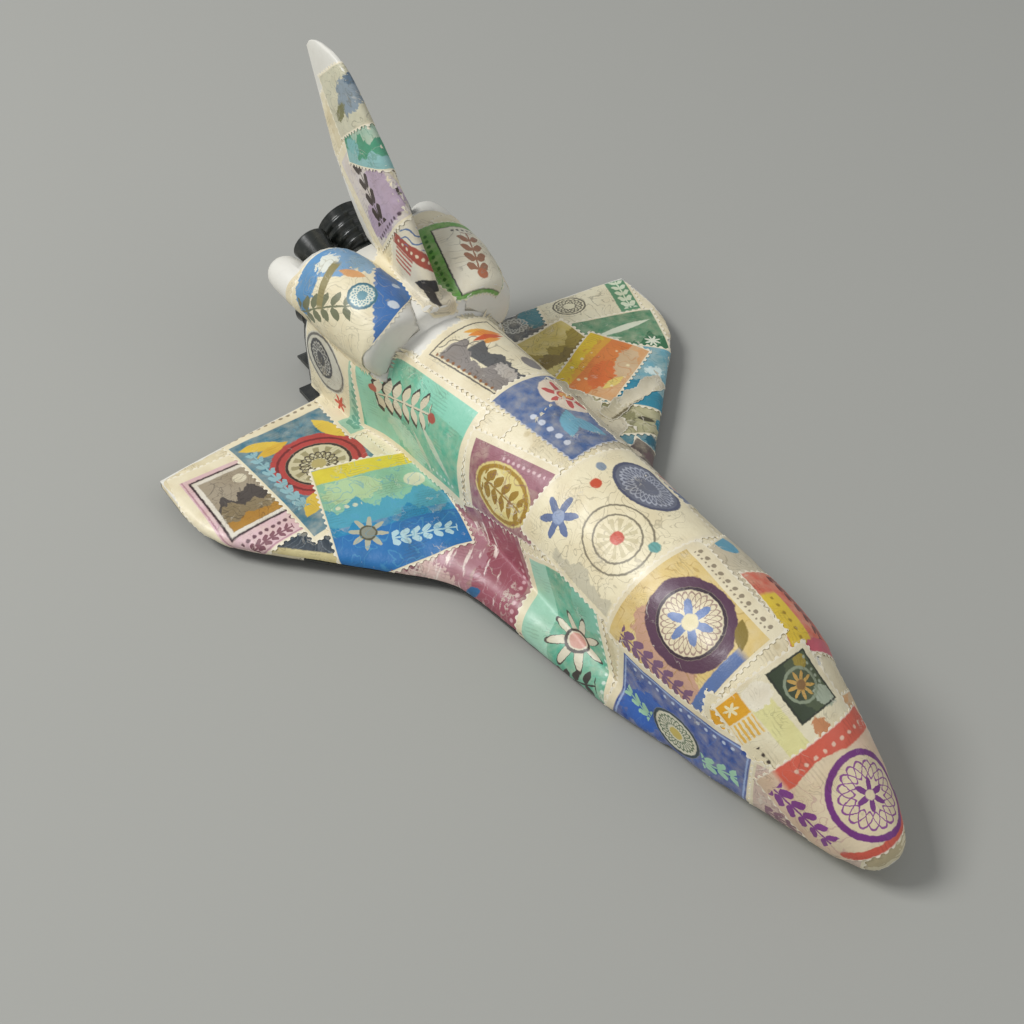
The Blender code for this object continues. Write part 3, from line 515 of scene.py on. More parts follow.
        ("box", 0, 7.4, 15.0, 7.0, 2, "#8fc0a0"), ("blob", -7.0, 7.6, 7.0, 4.4, 0, "#b4cf9f", 0.6),
        ("hills", 0, 2.6, 15.0, 6.0, 0, "#4fa0b6", 2.0), ("hills", 0, -3.6, 15.0, 6.0, 0, "#2586b2", 5.0),
        ("box", 0, -12.0, 15.5, 6.4, 0, "#2570ae"), ("hills", 0, -9.0, 15.0, 6.0, 0, "#2570ae", 8.0),
        ("box", 0, 15.0, 15.0, 2.6, 3, "#dccb3f"), ("star", -6.6, -6.4, 4.6, 4.8, 15, "#b3b29b", 8),
        ("disc", -6.6, -6.4, 2.0, 2.1, 0, "#8d8f80"), ("ring", -6.6, -6.4, 2.0, 2.1, 0, "#56543f", 0.4),
        ("disc", 7.8, 7.0, 2.6, 2.4, 0, "#d6d9bb"), ("sprig", 5.4, -10.8, 7.4, 2.2, -8, "#b4d3da", 6),
        ("dots", -9.4, 2.6, 3.6, 0.6, 0, "#d6d9bb", 2.0), ("contour", 0, 0, 14.5, 17, 0, "#55a0c2", 8),
    ]},
    "darkWater": {"size": (24, 20), "ground": "#3d4a55", "margin": (1.0, 1.0, 4.0, 1.0), "wear": 0.5, "ink": [
        ("hills", 0, 2, 11, 6, 0, "#2c3944", 2.0), ("blob", -5, 2, 2.4, 1.8, 0, "#b9c0bd", 0.7),
        ("contour", 0, 0, 11, 9, 0, "#7f8c94", 10), ("box", 0, -5.4, 11, 2.4, 0, "#cfc28e"),
    ]},
    "lineSketch": {"size": (27, 20), "ground": "#e0d9bb", "margin": 1.2, "wear": 0.35, "ink": [
        ("contour", -3.0, 0, 9.5, 8.0, 0, "#5e5847", 14), ("disc", -5.0, 1.0, 4.4, 4.0, 0, "#ddd6b6"),
        ("ring", -5.0, 1.0, 4.4, 4.0, 0, "#5b5647", 0.35), ("rosette", -5.0, 1.0, 3.6, 3.2, 0, "#6a6454", 5),
        ("box", 10.0, 1.5, 3.0, 8.0, 0, "#5d8f6a"), ("sprig", 10.0, 1.0, 6.4, 2.0, 90, "#d2dcc0", 5),
    ]},
    "greenField": {"size": (26, 20), "ground": "#4b8560", "margin": (1.6, 1.0, 1.0, 1.0), "wear": 0.3, "ink": [
        ("hills", 0, -2.0, 12.4, 6.6, 0, "#376f4a", 3.0), ("contour", 0, 0, 12, 9, 0, "#74a882", 9),
        ("leaf", 2.6, 3.4, 8.0, 1.1, 12, "#d9dec6"), ("leaf", -4.0, 0.6, 5.4, 0.9, -10, "#c6d3b8"),
        ("star", 8.4, -3.4, 2.2, 2.0, 0, "#dfe3cd", 8), ("blob", -10.0, 4.0, 2.4, 2.0, 0, "#39543c", 0.5),
    ]},
    "oliveHill": {"size": (20, 20), "ground": "#cdb95f", "margin": 1.0, "wear": 0.35, "ink": [
        ("hills", 0, 2.4, 9.2, 6.6, 0, "#a28f3b", 2.0), ("hills", 0, -1.4, 9.2, 6.0, 0, "#857233", 6.0),
        ("blob", -1.0, -6.8, 8.0, 2.0, -10, "#e0cf80", 0.5), ("contour", 0, 0, 9, 9, 0, "#665626", 12),
    ]},
    "sunset": {"size": (18, 24), "ground": "#d9a36c", "margin": 0.8, "wear": 0.35, "ink": [
        ("box", -5.6, 0, 3.4, 12, 0, "#e3c42f"), ("blob", -2.6, 0, 2.6, 12, 0, "#e2a83a", 0.6),
        ("box", -0.2, 0, 2.8, 12, -5, "#df8440"), ("blob", 1.6, -3.0, 3.2, 5.4, 0, "#dd7438", 0.6),
        ("blob", 5.2, 4.0, 2.8, 6.0, 10, "#d5b890", 0.6), ("leaf", 5.4, -4.6, 3.6, 1.2, 70, "#e6cf74"),
        ("spot", 0, 0, 8, 11, 0, "#efe0b4", 3.0), ("contour", 0, 0, 8, 11, 0, "#c8783a", 8),
    ]},
    "seaSky": {"size": (20, 24), "ground": "#6fa9b8", "margin": 0.9, "wear": 0.4, "ink": [
        ("hills", 0.0, -4.0, 9.2, 7.0, 0, "#2f8aa6", 4.0), ("blob", -3.4, 6.0, 4.6, 3.4, 0, "#9bc6c6", 0.7),
        ("blob", 4.0, 2.4, 2.4, 1.6, 0, "#cfe0dc", 0.9), ("contour", 0, 0, 9, 11, 0, "#4d93a8", 9),
    ]},
    "khakiMap": {"size": (19, 19), "ground": "#aba87f", "margin": 0.9, "wear": 0.6, "ink": [
        ("blob", -4.0, 0.0, 3.4, 5.0, 10, "#8d8a62", 0.9), ("leaf", 3.4, 3.0, 2.6, 0.8, 30, "#4b4630"),
        ("leaf", 2.0, -4.0, 2.2, 0.8, -20, "#4b4630"), ("contour", 0, 0, 9, 9, 0, "#45412c", 9),
        ("blob", 6.0, -5.6, 1.8, 2.0, 0, "#2d8298", 0.7),
    ]},
    "inkDark": {"size": (17, 16), "ground": "#4c4f52", "margin": 1.0, "wear": 0.5, "ink": [
        ("blob", 3, 2, 4, 5, 0, "#4d8289", 0.7), ("rosette", -3, 0, 3.6, 3.4, 0, "#c4c2b6", 5),
        ("contour", 0, 0, 8, 7, 0, "#a3a49c", 11),
    ]},
    "skyClouds": {"size": (31, 31), "ground": "#e7ddbc", "margin": 0.8, "wear": 0.3, "ink": [
        ("blob", -8.6, 8.0, 6.4, 7.4, 10, "#7ba3c6", 0.8), ("blob", -11.8, 0.0, 3.4, 9.0, 10, "#5d92c0", 0.8),
        ("blob", -9.6, 5.0, 2.6, 3.4, 20, "#dfe2d6", 0.9), ("blob", -2.4, 10.4, 5.0, 3.0, -20, "#86a9c2", 0.9),
        ("box", 15.6, 9.1, 10.0, 15.0, 37.7, "#4474b0"), ("dots", 7.6, 2.9, 14.0, 0.5, -52.3, "#e8dfc4", 1.7),
        ("disc", 12.6, 4.4, 1.5, 1.1, 20, "#d3dbe2"), ("disc", 9.0, 10.4, 1.2, 0.9, 30, "#b9cbdd"),
        ("contour", 0, -2, 13, 12, 0, "#a59f86", 10),
        ("sprig", -3.4, -5.0, 9.0, 3.4, 24, "#74785c", 5), ("disc", 5.4, 2.0, 3.6, 3.5, 0, "#6c98a4"),
        ("ring", 5.4, 2.0, 3.6, 3.5, 0, "#44707f", 0.45), ("rosette", 5.4, 2.0, 2.9, 2.8, 0, "#d8dccb", 5),
        ("leaf", -1.0, 5.6, 3.8, 1.2, 16, "#d6a06a"), ("box", -5.6, 0.4, 1.1, 6.0, 12, "#8f8558"),
    ]},
    "greenBorder": {"size": (19, 25), "ground": "#5aa038", "margin": 0.4, "wear": 0.25, "ink": [
        ("box", 1.9, -0.6, 6.9, 10.4, 0, "#26281f"), ("box", 2.1, -0.6, 6.7, 10.2, 0, "#e0dac4"),
        ("sprig", 2.6, 0.4, 6.4, 2.8, 84, "#9a6e54", 4), ("disc", 2.6, -7.0, 1.4, 1.4, 0, "#b06a4a"),
        ("contour", 2.4, 0, 5.4, 8.6, 0, "#8d877a", 10), ("dots", 3.0, 8.0, 3.4, 0.4, 0, "#5b574f", 1.4),
        ("dots", -6.9, 0, 9.5, 0.5, 90, "#356f20", 1.7),
    ]},
    "foldedEdge": {"size": (5.4, 23), "ground": "#c5bc9e", "margin": 0.1, "wear": 0.9, "torn": 0.5, "ink": [
        # a pale band and a dark one run down the strip; the dark one is painted shadow beside the raised fold
        ("blob", -0.4, 3, 1.8, 8, 0, "#ded6bd", 0.9), ("blob", 1.9, -4, 0.7, 6.4, 0, "#6f6547", 0.9),
    ]},
    "tornGrey": {"size": (27, 9), "ground": "#bcb39b", "margin": 0.1, "wear": 0.9, "torn": 1.0, "ink": [
        ("blob", 2, 1, 8, 3, 0, "#cfc6ab", 0.8), ("spot", 0, 0, 12, 4, 0, "#4f4a42", 3.4),
    ]},
    "tealScrap": {"size": (15, 12), "ground": "#2d8298", "margin": 0.9, "wear": 0.6, "ink": [
        ("blob", -3.0, 2.0, 4.0, 2.4, 20, "#6fb0b8", 0.8), ("blob", 4.0, -2.0, 2.4, 1.6, 0, "#1f6478", 0.8),
    ]},
    "brownScrap": {"size": (11, 7.5), "ground": "#4b3d3e", "margin": 0.8, "wear": 0.5, "torn": 0.4, "ink": [
        ("blob", 2, 0, 3, 2, 0, "#6a5553", 0.8), ("blob", -3, -2, 2, 1, 0, "#c9bda8", 0.7),
    ]},
    "noseEnd": {"size": (30, 12), "ground": "#ddd2b0", "margin": 0.3, "wear": 1.0, "torn": 0.4, "ink": [
        ("wave", 0, 0, 13, 4.5, 0, "#b09f78", 1.5), ("blob", 4, 2, 6, 2, 0, "#c3b48e", 0.9),
    ]},
    "brickBand": {"size": (22, 20), "ground": "#ddd5bf", "margin": 0.9, "wear": 0.3, "ink": [
        ("box", 0, 1.4, 10.0, 1.6, 0, "#a5503e"), ("bars", -5.4, -2.6, 3.2, 2.6, 0, "#b9705f", 1.3),
        ("wave", 0, 6.0, 8.0, 2.4, 14, "#60789c", 1.9), ("leaf", 3.6, -3.6, 4.4, 1.5, 24, "#2c2a28"),
        ("leaf", 4.6, -5.2, 3.8, 1.2, -26, "#3a3632"), ("disc", 8.6, 5.4, 1.4, 1.4, 0, "#c8894f"),
        ("dots", 0, 1.4, 9.0, 0.4, 0, "#e2d2b4", 1.6),
    ]},
    "lilacSprig": {"size": (22, 26), "ground": "#d6cdc8", "margin": (2.0, 1.2, 1.2, 2.4), "wear": 0.3, "ink": [
        ("blob", 0, -7.0, 10, 4.6, 0, "#b8a4b6", 0.5), ("blob", 5.0, -2.0, 4.0, 5.4, 0, "#bca9bb", 0.5),
        ("contour", 0, 0, 10, 12, 0, "#a493a2", 9), ("sprig", -0.6, 0.6, 9.4, 3.2, 82, "#42362f", 5),
        ("disc", 5.0, 6.0, 1.6, 1.6, 0, "#7b5e50"), ("dots", 0, -10.4, 8.0, 0.45, 0, "#5c4a56", 1.7),
    ]},
    "seaGreen": {"size": (20, 16), "ground": "#9fbfaa", "margin": 0.8, "wear": 0.5, "ink": [
        ("hills", 0, 0, 9.2, 6.4, 0, "#4f9a78", 2.0), ("blob", -5.0, -3.4, 3.4, 2.4, 0, "#7fb7b4", 0.7),
        ("hills", 0, -4.6, 9.2, 3.0, 0, "#8fbcb9", 5.0), ("contour", 0, 0, 9, 7, 0, "#5f8f78", 10),
    ]},
    "slateOlive": {"size": (22, 16), "ground": "#cbc8ae", "margin": 0.8, "wear": 0.6, "ink": [
        ("blob", 2.0, 0.0, 5.0, 4.0, 0, "#8c9aa4", 0.9), ("blob", -4.0, -2.4, 3.4, 1.4, 20, "#7c7a4e", 0.9),
        ("blob", 5.0, 3.4, 2.4, 1.4, 0, "#5f7486", 0.9), ("contour", 0, 0, 10, 7, 0, "#6d6c5c", 13),
    ]},
}

boxShapes = {"box", "bars", "wave", "hills", "scrape"}


def inkMask(tree, point, row, soft):
    # 1 inside the shape, with a slightly uneven printed edge
    kind, x, y, wide, high, turn, _, *more = row
    pitch = more[0] if more else 1.0
    small = min(wide, high)
    edge = soft / small

    def tooth(value, every=1.0):
        return addNode(tree, "Math PINGPONG", addNode(tree, "Math DIVIDE", value, every), 0.5)

    frameOfShape = {0: point, 1: (x, y, 0), 2: (0, 0, math.radians(turn)), 3: (wide, high, 1)}
    local = addNode(tree, "Mapping", frameOfShape, vector_type="TEXTURE")
    across, up, _ = addNode(tree, "SeparateXYZ", local, out=None)
    acrossMm = addNode(tree, "Math MULTIPLY", across, wide)
    upMm = addNode(tree, "Math MULTIPLY", up, high)
    side = addNode(tree, "Math ABSOLUTE", across)
    rise = addNode(tree, "Math ABSOLUTE", up)
    flat = addNode(tree, "CombineXYZ", across, up)
    reach = addNode(tree, "VectorMath LENGTH", flat, out="Value")

    if kind == "frame":
        fromSide = addNode(tree, "Math SUBTRACT", wide, addNode(tree, "Math ABSOLUTE", acrossMm))
        fromTop = addNode(tree, "Math SUBTRACT", high, addNode(tree, "Math ABSOLUTE", upMm))
        gap = addNode(tree, "Math MINIMUM", fromSide, fromTop)
        fromLine = addNode(tree, "Math ABSOLUTE", addNode(tree, "Math ADD", gap, -pitch / 2))
        return addNode(tree, "MapRange", fromLine, pitch / 2 + soft, pitch / 2 - soft / 2)
    if kind == "dots":
        along = addNode(tree, "Math MULTIPLY", tooth(acrossMm, pitch), pitch)
        onDot = addNode(tree, "CombineXYZ", along, upMm)
        fromDot = addNode(tree, "VectorMath LENGTH", onDot, out="Value")
        dot = addNode(tree, "MapRange", fromDot, high + soft, high - soft)
        return addNode(tree, "Math MULTIPLY", dot, addNode(tree, "Math LESS_THAN", side, 1.0))
    if kind == "leaf":
        outline = addNode(tree, "Math ADD", rise, addNode(tree, "Math MULTIPLY", across, across))
        return addNode(tree, "MapRange", outline, 1 + edge, 1 - edge)
    if kind == "sprig":
        # pairs of leaves slanting off one stem, narrowing towards its end
        lean = addNode(tree, "Math MULTIPLY_ADD", rise, -0.5, addNode(tree, "Math MULTIPLY", across, pitch / 2))
        width = addNode(tree, "Math MULTIPLY", rise, addNode(tree, "Math SUBTRACT", 1.0, rise))
        width = addNode(tree, "Math MULTIPLY", width, 3.3)
        width = addNode(tree, "Math MULTIPLY", width, addNode(tree, "MapRange", across, -1.0, 1.0, 1.15, 0.75))
        leaves = addNode(tree, "Math SUBTRACT", addNode(tree, "Math MULTIPLY", tooth(lean), 2.0), width)
        leaves = addNode(tree, "MapRange", leaves, edge, -edge)
        stem = addNode(tree, "MapRange", addNode(tree, "Math ABSOLUTE", upMm), 0.3, 0.16)
        leaves = addNode(tree, "Math MAXIMUM", leaves, stem)
        return addNode(tree, "Math MULTIPLY", leaves, addNode(tree, "Math LESS_THAN", side, 1.0))
    if kind == "rosette":
        # three waved rings laced through each other, as a lathe draws them
        angle = addNode(tree, "Math MULTIPLY", addNode(tree, "Math ARCTAN2", up, across), pitch)
        fromRing = addNode(tree, "Math ADD", reach, -0.72)
        strands = []
        for shift in (0.0, 2.094, 4.189):
            swing = addNode(tree, "Math SINE", addNode(tree, "Math ADD", angle, shift))
            strand = addNode(tree, "Math MULTIPLY_ADD", swing, 0.24, fromRing)
            strands.append(addNode(tree, "Math ABSOLUTE", strand))
        near = addNode(tree, "Math MINIMUM", addNode(tree, "Math MINIMUM", strands[0], strands[1]), strands[2])
        return addNode(tree, "MapRange", addNode(tree, "Math MULTIPLY", near, small), 0.3, 0.14)
    if kind == "contour":
        # lines of equal height, as on a survey sheet; each row has its own piece of ground
        ground = addNode(tree, "VectorMath ADD", point, (x * 3.1, y * 2.3, pitch))
        field = addNode(tree, "TexNoise", Vector=ground, Scale=0.13, Detail=2.0, Distortion=0.5)
        lines = addNode(tree, "MapRange", tooth(addNode(tree, "Math MULTIPLY", field, pitch * 0.9)), 0.08, 0.03)
        return addNode(tree, "Math MULTIPLY", lines, addNode(tree, "MapRange", reach, 1.15, 1.0, 0.0, 0.45))

    far = addNode(tree, "Math MAXIMUM", side, rise) if kind in boxShapes else reach
    if kind == "blob":
        rough = addNode(tree, "TexNoise", Vector=point, Scale=2.2 / small, Detail=3.0)
        far = addNode(tree, "Math MULTIPLY_ADD", addNode(tree, "Math ADD", rough, -0.5), 1.6 * pitch, far)
    if kind in ("star", "rays"):
        wave = addNode(tree, "Math MULTIPLY", addNode(tree, "Math ARCTAN2", up, across), pitch)
        wave = addNode(tree, "Math SINE", wave)
        if kind == "star":
            far = addNode(tree, "Math DIVIDE", far, addNode(tree, "Math MULTIPLY_ADD", wave, 0.32, 0.66))
    if kind == "ring":
        thin = pitch / 2 / small
        fromLine = addNode(tree, "Math ABSOLUTE", addNode(tree, "Math ADD", far, thin - 1.0))
        return addNode(tree, "MapRange", fromLine, thin + edge, thin - edge / 2)
    mask = addNode(tree, "MapRange", far, 1 + edge, 1 - edge)
    if kind == "rays":
        mask = addNode(tree, "Math MULTIPLY", mask, addNode(tree, "MapRange", wave, -0.1, 0.1))
    if kind == "bars":
        along = acrossMm if wide >= high * 2.5 else upMm
        mask = addNode(tree, "Math MULTIPLY", mask, addNode(tree, "MapRange", tooth(along, pitch), 0.2, 0.3))
    if kind == "wave":
        swing = addNode(tree, "Math SINE", addNode(tree, "Math MULTIPLY", acrossMm, 1.3))
        lines = tooth(addNode(tree, "Math MULTIPLY_ADD", swing, 0.28, addNode(tree, "Math DIVIDE", upMm, pitch)))
        mask = addNode(tree, "Math MULTIPLY", mask, addNode(tree, "MapRange", lines, 0.36, 0.44))
    if kind == "hills":
        # a range seen from the side: everything below one uneven line
        ridgeLine = addNode(tree, "CombineXYZ", acrossMm, pitch * 7.3)
        crest = addNode(tree, "Math ADD", addNode(tree, "TexNoise", Vector=ridgeLine, Scale=0.16, Detail=4.0), -0.5)
        above = addNode(tree, "Math MULTIPLY", addNode(tree, "Math MULTIPLY_ADD", crest, -3.2, up), high)
        mask = addNode(tree, "Math MULTIPLY", mask, addNode(tree, "MapRange", above, soft, -soft))
    if kind == "scrape":
        # long light streaks along a fold: painted highlights that stand for the glints off the varnish's crinkles,
        # where the print is also rubbed off
        drawnOut = addNode(tree, "VectorMath MULTIPLY", addNode(tree, "CombineXYZ", acrossMm, upMm), (0.11, 0.6, 0.0))
        streaks = addNode(tree, "TexNoise", Vector=drawnOut, Scale=1.0, Detail=6.0)
        mask = addNode(tree, "Math MULTIPLY", mask, addNode(tree, "MapRange", streaks, 0.56, 0.62))
    if kind == "spot":
        dots = addNode(tree, "TexVoronoi", out="Distance", Vector=point, Scale=1 / pitch)
        mask = addNode(tree, "Math MULTIPLY", mask, addNode(tree, "MapRange", dots, 0.2, 0.1))
    return mask


def printMaterial(name, design):
    # printed paper under old varnish: ink with a fine engraved grain, a yellowed margin, worn creases
    material, tree, shader = startMaterial("varnished printed paper, " + name)
    wide, high = design["size"]
    margin = design["margin"]
    left, right, low, top = margin if isinstance(margin, tuple) else (margin,) * 4
    sheetPoint = addNode(tree, "Attribute", out="Vector", attribute_name="sheet")
    x, y, toEdge = addNode(tree, "SeparateXYZ", sheetPoint, out=None)
    flat = addNode(tree, "CombineXYZ", x, y)
    seed = addNode(tree, "Attribute", out="Fac", attribute_name="seed")
    # the same flat point, somewhere else in the noise for each sheet
    own = addNode(tree, "CombineXYZ", x, y, addNode(tree, "Math MULTIPLY", seed, 40.0))

    # the ink's edges stray a few tenths of a mm
    shake = addNode(tree, "TexNoise", Vector=flat, Scale=1.1, Detail=3.0, out=1)
    shake = addNode(tree, "VectorMath SUBTRACT", shake, (0.5, 0.5, 0.5))
    shake = addNode(tree, "VectorMath SCALE", {0: shake, "Scale": 0.55})
    drawn = addNode(tree, "VectorMath ADD", flat, shake)
    drawnY = addNode(tree, "SeparateXYZ", drawn, out=1)
    engraved = addNode(tree, "Math PINGPONG", addNode(tree, "Math MULTIPLY", drawnY, 1.25), 0.5)
    tone = addNode(tree, "TexNoise", Vector=flat, Scale=0.35, Detail=4.0)
    tone = addNode(tree, "MapRange", tone, 0.35, 0.75, 0.0, 0.35)
    picture = addNode(tree, "Mix", {0: tone, 6: linear(design["ground"]), 7: linear(paper["cream"])}, **colours)
    for row in design["ink"]:
        inked = inkMask(tree, drawn, row, 0.14)
        picture = addNode(tree, "Mix", {0: inked, 6: picture, 7: linear(row[6])}, **colours)
    # groups of fine dark lines, drawn about 0.25 mm wide so that they show
    swirl = addNode(tree, "TexNoise", Vector=own, Scale=0.17, Detail=2.0, Distortion=0.8)
    swirl = addNode(tree, "Math PINGPONG", addNode(tree, "Math MULTIPLY", swirl, 17.0), 0.5)
    lines = addNode(tree, "MapRange", swirl, 0.14, 0.05)
    drawnHere = addNode(tree, "TexNoise", Vector=own, Scale=0.15, Detail=1.0)
    drawnHere = addNode(tree, "MapRange", drawnHere, 0.54, 0.64)
    lines = addNode(tree, "Math MULTIPLY", addNode(tree, "Math MULTIPLY", lines, drawnHere), 0.26)
    # and patches shaded with straight ones
    shaded = addNode(tree, "TexNoise", Vector=own, Scale=0.21, Detail=1.0)
    shaded = addNode(tree, "MapRange", shaded, 0.57, 0.66, 0.0, 0.16)
    shaded = addNode(tree, "Math MULTIPLY", addNode(tree, "MapRange", engraved, 0.26, 0.36), shaded)
    for strength in (lines, shaded):
        picture = addNode(tree, "Mix", {0: strength, 6: picture, 7: linear(paper["engraving"])}, **colours)
    printed = ("box", (left - right) / 2, (low - top) / 2, (wide - left - right) / 2, (high - low - top) / 2, 0, "")
    inside = inkMask(tree, flat, printed, 0.07)
    colour = addNode(tree, "Mix", {0: inside, 6: linear(paper["cream"]), 7: picture}, **colours)
    for row in design.get("marks", ()):
        inked = addNode(tree, "Math MULTIPLY", inkMask(tree, drawn, row, 0.1), 0.75)
        colour = addNode(tree, "Mix", {0: inked, 6: colour, 7: linear(row[6])}, **colours)

    # age: a brown bloom, white lines where the paper was creased, a pale cut edge, a bare back and specks of dirt
    wear = design["wear"]
    bloom = addNode(tree, "TexNoise", Vector=own, Scale=0.13, Detail=5.0)
    bloom = addNode(tree, "MapRange", bloom, 0.45, 0.8, 0.0, 0.4)
    browned = {0: 1.0, 6: colour, 7: linear(paper["brown"])}
    browned = addNode(tree, "Mix", browned, blend_type="MULTIPLY", **colours)
    colour = addNode(tree, "Mix", {0: bloom, 6: colour, 7: browned}, **colours)
    ridge = addNode(tree, "TexNoise", Vector=own, Scale=0.22, Detail=5.0, Distortion=0.6)
    ridge = addNode(tree, "Math ABSOLUTE", addNode(tree, "Math SUBTRACT", ridge, 0.5))
    scuffed = addNode(tree, "TexNoise", Vector=own, Scale=0.16, Detail=2.0)
    scuffed = addNode(tree, "MapRange", scuffed, 0.62 - 0.2 * wear, 0.8 - 0.2 * wear)
    crease = addNode(tree, "MapRange", ridge, 0.012 + 0.012 * wear, 0.0)
    crease = addNode(tree, "Math MULTIPLY", crease, scuffed)
    specks = addNode(tree, "TexNoise", Vector=own, Scale=1.4, Detail=2.0)
    for strength, shade in (
        (addNode(tree, "Math MULTIPLY", crease, 0.75), "crease"),
        (addNode(tree, "MapRange", toEdge, 0.3, 0.02, 0.0, 0.6), "cut"),
        (addNode(tree, "MapRange", toEdge, -0.4, -0.6), "back"),
        (addNode(tree, "MapRange", specks, 0.74, 0.8, 0.0, 0.5), "dirt"),
    ):
        colour = addNode(tree, "Mix", {0: strength, 6: colour, 7: linear(paper[shade])}, **colours)

    # varnish brushed on thin: smeared gloss over the paper's fibres
    smear = addNode(tree, "TexNoise", Vector=own, Scale=0.3, Detail=5.0)
    rough = addNode(tree, "MapRange", smear, 0.3, 0.7, 0.34, 0.6)
    rough = addNode(tree, "Math ADD", rough, addNode(tree, "Math MULTIPLY", crease, 0.2))
    swell = addNode(tree, "TexNoise", Vector=own, Scale=0.55, Detail=3.0)
    swell = addNode(tree, "Math ADD", swell, addNode(tree, "Math MULTIPLY", crease, 0.5))
    fibre = addNode(tree, "TexNoise", Vector=own, Scale=3.0, Detail=6.0)
    fibre = addNode(tree, "Math MULTIPLY_ADD", fibre, 0.35, swell)
    setSurface(tree, shader, colour, rough, fibre, 0.6, 0.2 * mm)
    shader.inputs["Coat Weight"].default_value = 0.12
    shader.inputs["Coat Roughness"].default_value = 0.25
    return material


